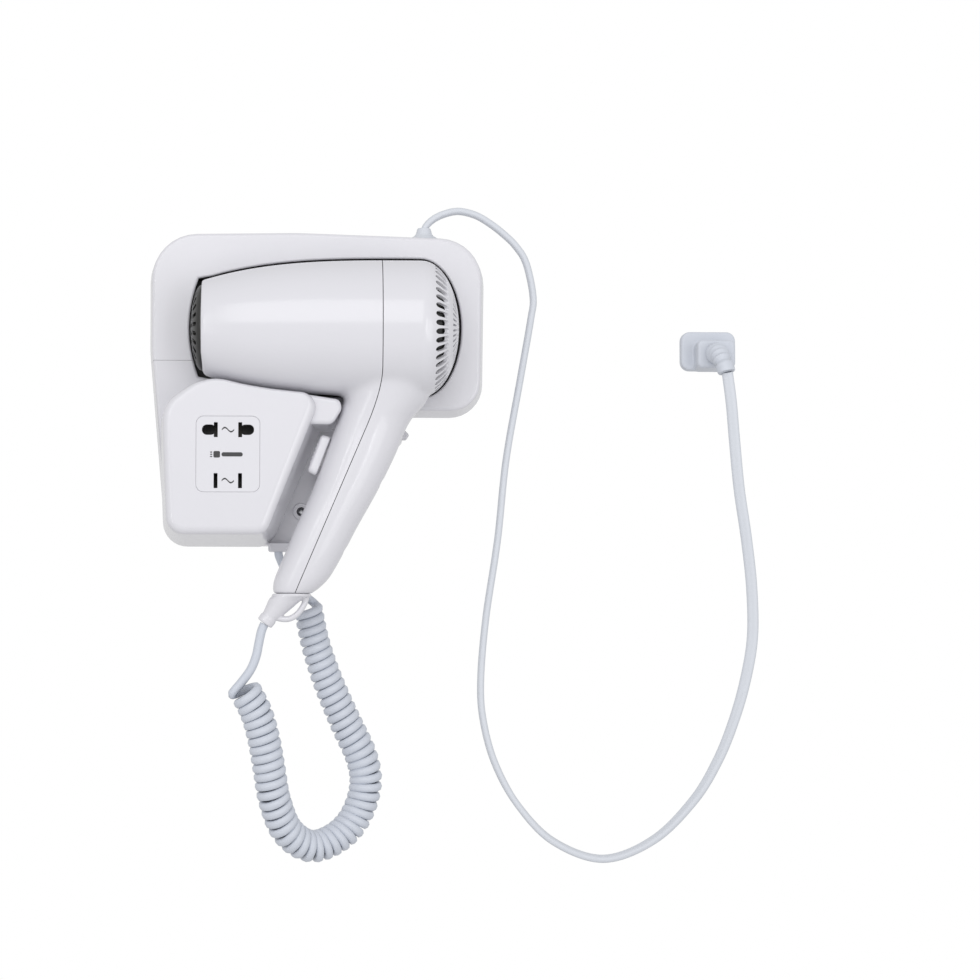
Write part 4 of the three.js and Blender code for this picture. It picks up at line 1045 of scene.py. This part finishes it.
# %% Handle boot
BOOT_SECTIONS = [
    # x, z, half width, half depth, tilt in degrees
    (-12.4, -110.95, 10, 9, 0), (-12.4, -111.4, 10.4, 9.4, 0), (-12.6, -112.3, 10.2, 9.2, 0),
    (-14.6, -113.1, 9, 8.6, 2), (-16.3, -114.3, 8, 7.9, 5), (-18.2, -116.4, 6.9, 7, 11),
    (-20, -118.5, 5.9, 6, 17), (-21.9, -120.6, 5, 5.1, 26), (-23.4, -122.2, 4.3, 4.4, 34),
    (-24.4, -123.4, 3.9, 3.9, 36), (-26, -125.7, 3.8, 3.8, 36),
]
rings = []
for x, z, wide, deep, tilt in BOOT_SECTIONS:
    lean = math.radians(tilt)
    across = Vector((math.cos(lean), 0, -math.sin(lean)))
    rings.append([
        Vector((x, BARREL.y, z)) + across * (wide * math.cos(a)) + Vector((0, deep * math.sin(a), 0))
        for a in np.radians(range(0, 360, 9))
    ])
boot = stack("boot_throat", rings)
BOOT_LEAN = math.radians(36)
down_the_cord = Vector((-math.sin(BOOT_LEAN), 0, -math.cos(BOOT_LEAN)))
across_the_cord = Vector((math.cos(BOOT_LEAN), 0, -math.sin(BOOT_LEAN)))


def cord_rings(start, profile, sides=40):
    """Rings round the boot's slanted axis from (distance, radius) pairs."""
    rings = []
    for distance, radius in profile:
        centre = start + down_the_cord * distance
        turns = [2 * math.pi * k / sides for k in range(sides)]
        rings.append([
            centre + (across_the_cord * math.cos(a) + Vector((0, math.sin(a), 0))) * radius for a in turns
        ])
    return rings


COLLAR_PLACE = Vector((-24.2, BARREL.y, -123.1))
join(boot, stack("collar", cord_rings(COLLAR_PLACE, [(0, 3.4), (0.15, 4.2), (0.6, 4.5), (3.6, 4.4), (4.1, 4), (4.2, 3.2)])))
loop_line = smooth_line(
    [(-4.6, -45, -111.4), (-5, -45, -114), (-6.6, -45, -117.8), (-9.7, -45, -121.7), (-13.8, -45, -124),
     (-18.6, -45, -123.9), (-21, -45, -122.6)], 0.8,
)
join(boot, stack("loop", carried_rings(loop_line, lambda share: oval(4.4, 3.2, sides=16), (0, 1, 0))))
melt(boot, 0.35, 3)
cut(boot, stack("cord_bore", cord_rings(COLLAR_PLACE - down_the_cord * 2, [(0, 2.5), (9, 2.5)])))
join(boot, turned_z("boot_stem", [(-104, 3.2), (-103.6, 3.6), (-112, 3.6)], -12, BARREL.y, 32))
fit(boot, "handset", "gloss_white", "handle_boot", angle=60)

# %% Screws of the handset and the cover
def screw_rings(place, axis, side, profile):
    """Rings of a screw: (distance along the axis, radius)."""
    other = axis.cross(side)
    turns = [2 * math.pi * k / 36 for k in range(36)]
    return [[place + axis * d + (side * math.cos(a) + other * math.sin(a)) * r for a in turns] for d, r in profile]


def screw(name, place, axis, side, head, shank, length, body, node):
    """A pan-head screw with a cross recess; the head's top is at the place, the shank runs along the axis."""
    profile = [(0.25, head - 0.8), (0, head - 1.3)]
    profile = [(length, shank * 0.3), (length - 1.2, shank), (2, shank), (2, head), (0.7, head), *profile]
    made = stack(name, screw_rings(place, axis, side, profile))
    other = axis.cross(side)
    for long, short in ((side, other), (other, side)):
        corners = [(-1, -1), (1, -1), (1, 1), (-1, 1)]
        rings = [
            [place + axis * d + long * (u * head * 0.55 * s) + short * (v * 0.32 * s) for u, v in corners]
            for d, s in ((-0.5, 1), (1.3, 0.8))
        ]
        cut(made, stack("cross", rings))
    return fit(made, body, "steel", node)


inwards = Vector((-math.cos(HANDLE_TILT), 0, math.sin(HANDLE_TILT)))
for i, height in enumerate(SCREW_HEIGHTS):
    head_place = Vector((handle_at(height)[1], BARREL.y, height)) + inwards * 2.4
    screw(f"shell_screw_{i + 1}", head_place, inwards, Vector((0, 1, 0)), 2.7, 1.4, 13, "handset", f"handset_screw_{i + 1}")
screw("holder_screw", Vector((BOSS[0], -6.9, BOSS[1])), Vector((0, 1, 0)), Vector((1, 0, 0)), 2.1, 1.3, 4, "holder", "cover_screw_1")

# %% [markdown]
# ## Glands, plunger and plug
# The mains gland is a low dome on the holder's top, the other cord leaves through a flat tab under the holder.
# The hook plunger is a pin with a domed top that the docked barrel presses down.

# %% Glands and plunger
mains_gland = turned_z(
    "mains_dome",
    [(75, 6.2), (79.6, 6.4), (80.4, 7.2), (81.2, 7.4), (82, 6.6), (82.8, 5.2), (84, 4.3), (86.4, 3.7), (87, 3.3), (87, 2)],
    *MAINS_GLAND,
)
fit(mains_gland, "holder", "gloss_white", "mains_gland", material=cord_white, angle=50)
CURLY_GLAND = (-19.7, -14)
tab_corners = [(-25.2, -17.6, 2), (-12, -17.6, 2), (-12, -10.2, 1), (-25.2, -10.2, 1)]
tab_levels = [(-82.6, -0.6), (-83.1, 0), (-86.6, 0), (-87.2, -0.3), (-87.5, -0.9)]
tab = stack("curly_tab", [[(x, y, z) for x, y in rounded(tab_corners, grow)] for z, grow in tab_levels])
fit(tab, "holder", "gloss_white", "curly_gland", angle=50)
plunger_top = shelf_height(PLUNGER[0]) + SHELF_GAP - 0.6
plunger_profile = [(plunger_top - 12, 2), (plunger_top - 11.6, 2.4), (plunger_top - 1.4, 2.4), (plunger_top - 0.5, 2), (plunger_top, 1)]
fit(turned_z("hook_pin", plunger_profile, *PLUNGER, 40), "holder", "black_plastic", "hook_plunger")

# %% [markdown]
# The plug is moulded PVC: a flange, a block on it, and a ribbed boot that bends down to the cord. Flange and
# block are joined and melted together. The boot's ribs are one skin whose radius swings in and out along a
# curve; rings cut into a plain tube would show the same ribs with twice the work.

# %% Plug
PLUG = Vector((209.9, -17.4, 20.3))
FLANGE_FRONT = PLUG.y - 7
BLOCK = Vector((PLUG.x + 2.7, FLANGE_FRONT - 16, PLUG.z - 3.1))
flange = moulding("plug_flange", rectangle(PLUG.x, PLUG.z, 29.6, 21, 5), softened(PLUG.y, FLANGE_FRONT, 1.5, 1.3))
block = moulding("plug_block", rectangle(BLOCK.x, BLOCK.z, 20.6, 15.4, 3), softened(PLUG.y - 1, BLOCK.y, 1.8, 1.6))
plug_body = melt(join(flange, block), 0.4, 4)
# The plug body wears the darker plug PVC, which is painted shade.
fit(plug_body, "holder", "cord_white", "plug_body", material=plug_white_painted_shade, angle=60)

boot_route = smooth_line(
    [(BLOCK.x, BLOCK.y + 1.5, BLOCK.z), (BLOCK.x, BLOCK.y - 3, BLOCK.z), (BLOCK.x + 0.4, BLOCK.y - 8, BLOCK.z - 1.2),
     (BLOCK.x + 1.5, BLOCK.y - 12.4, BLOCK.z - 4.6), (215.6, -55.4, 8), (216.1, -55.9, 5.8)], 0.25,
)
RIBS = 6


def boot_section(share):
    """The ribbed part, then a collar that is a little wider and has no ribs."""
    radius = 6.1 - 1.8 * share
    if share < 0.8:
        radius -= 1.1 * (0.5 - 0.5 * math.cos(2 * math.pi * RIBS * share / 0.8)) ** 0.6
    else:
        radius += 0.35 * min(1, (share - 0.8) / 0.03, (1 - share) / 0.03 + 0.1)
    return oval(2 * radius, 2 * radius, sides=36)


ribbed = stack("plug_ribs", carried_rings(boot_route, boot_section, (1, 0, 0)))
# The ribbed boot wears the darker plug PVC too, which is painted shade.
fit(ribbed, "holder", "cord_white", "plug_boot", material=plug_white_painted_shade, angle=60)
PIN_LEVELS = [(PLUG.y + 0.3, 0), (PLUG.y + 15.6, 0), (PLUG.y + 16.5, -0.35), (PLUG.y + 16.9, -0.6)]
for i, side in enumerate((-1, 1)):
    pin_shape = rectangle(PLUG.x + side * PIN_PITCH / 2, PLUG.z, 1.5, 6.3, 0.5)
    fit(moulding(f"flat_pin_{i + 1}", pin_shape, PIN_LEVELS), "holder", "brass", f"plug_pin_{i + 1}")

# %% [markdown]
# ## Cords
# Each cord's length and its points, in metres, are worked out from the line that its mesh was made along: the
# mains flex from its gland to the plug, the curly strand from its gland to the handle's boot.

# %% Cord lengths and points
length_of(mains_line) * MM
[list(p * MM) for p in mains_line]
length_of(strand_line) * MM
[list(p * MM) for p in reversed(strand_line)]

# %% [markdown]
# ## Studio
# A white world gives the plain ground and an even light. One broad soft light from the upper left shapes the
# barrel, a second fills from the right, and two tall narrow lights draw the bright lines that a gloss housing
# shows along its handle and its corners. A pale round floor lies well below the part.

# %% Lights, floor and world
def soft_light(name, place, target, size, power):
    bpy.ops.object.light_add(type="AREA", location=Vector(place))
    light = bpy.context.active_object
    light.name = name
    light.rotation_mode = "QUATERNION"
    light.rotation_quaternion = (Vector(target) - Vector(place)).to_track_quat("-Z", "Y")
    light.data.shape = "RECTANGLE"
    light.data.size, light.data.size_y = size
    light.data.energy = power


MIDDLE = (0, -0.04, 0)
soft_light("key", (-0.5, -2.6, 1.2), MIDDLE, (2.0, 2.0), 26)
soft_light("fill", (1.4, -2.0, -0.3), MIDDLE, (1.4, 1.4), 9)
soft_light("left_strip", (-1.0, -1.25, 0.1), MIDDLE, (0.05, 1.1), 1.6)
soft_light("right_strip", (0.62, -1.6, 0.05), MIDDLE, (0.07, 0.8), 1.2)

world = bpy.data.worlds.new("studio")
world.use_nodes = True
sky = world.node_tree.nodes["Background"]
sky.inputs["Color"].default_value = (1, 1, 1, 1)
sky.inputs["Strength"].default_value = 0.75
seen = world.node_tree.nodes.new("ShaderNodeBackground")
ray = world.node_tree.nodes.new("ShaderNodeLightPath")
either = world.node_tree.nodes.new("ShaderNodeMixShader")
seen.inputs["Color"].default_value = (1, 1, 1, 1)
world.node_tree.links.new(ray.outputs["Is Camera Ray"], either.inputs[0])
world.node_tree.links.new(sky.outputs[0], either.inputs[1])
world.node_tree.links.new(seen.outputs[0], either.inputs[2])
world.node_tree.links.new(either.outputs[0], world.node_tree.nodes["World Output"].inputs["Surface"])
bpy.context.scene.world = world
bpy.context.scene.view_settings.view_transform = "Standard"

bpy.ops.mesh.primitive_circle_add(vertices=128, radius=0.9, fill_type="NGON", location=(0.05, -0.1, -0.42))
floor = bpy.context.active_object
floor.name = "studio_floor"
bpy.ops.object.transform_apply(location=True)
clothe(floor, moulded("studio_paper", (0.8, 0.8, 0.8), (0.78, 0.78, 0.785), 0.7))
print("lights and floor are in")
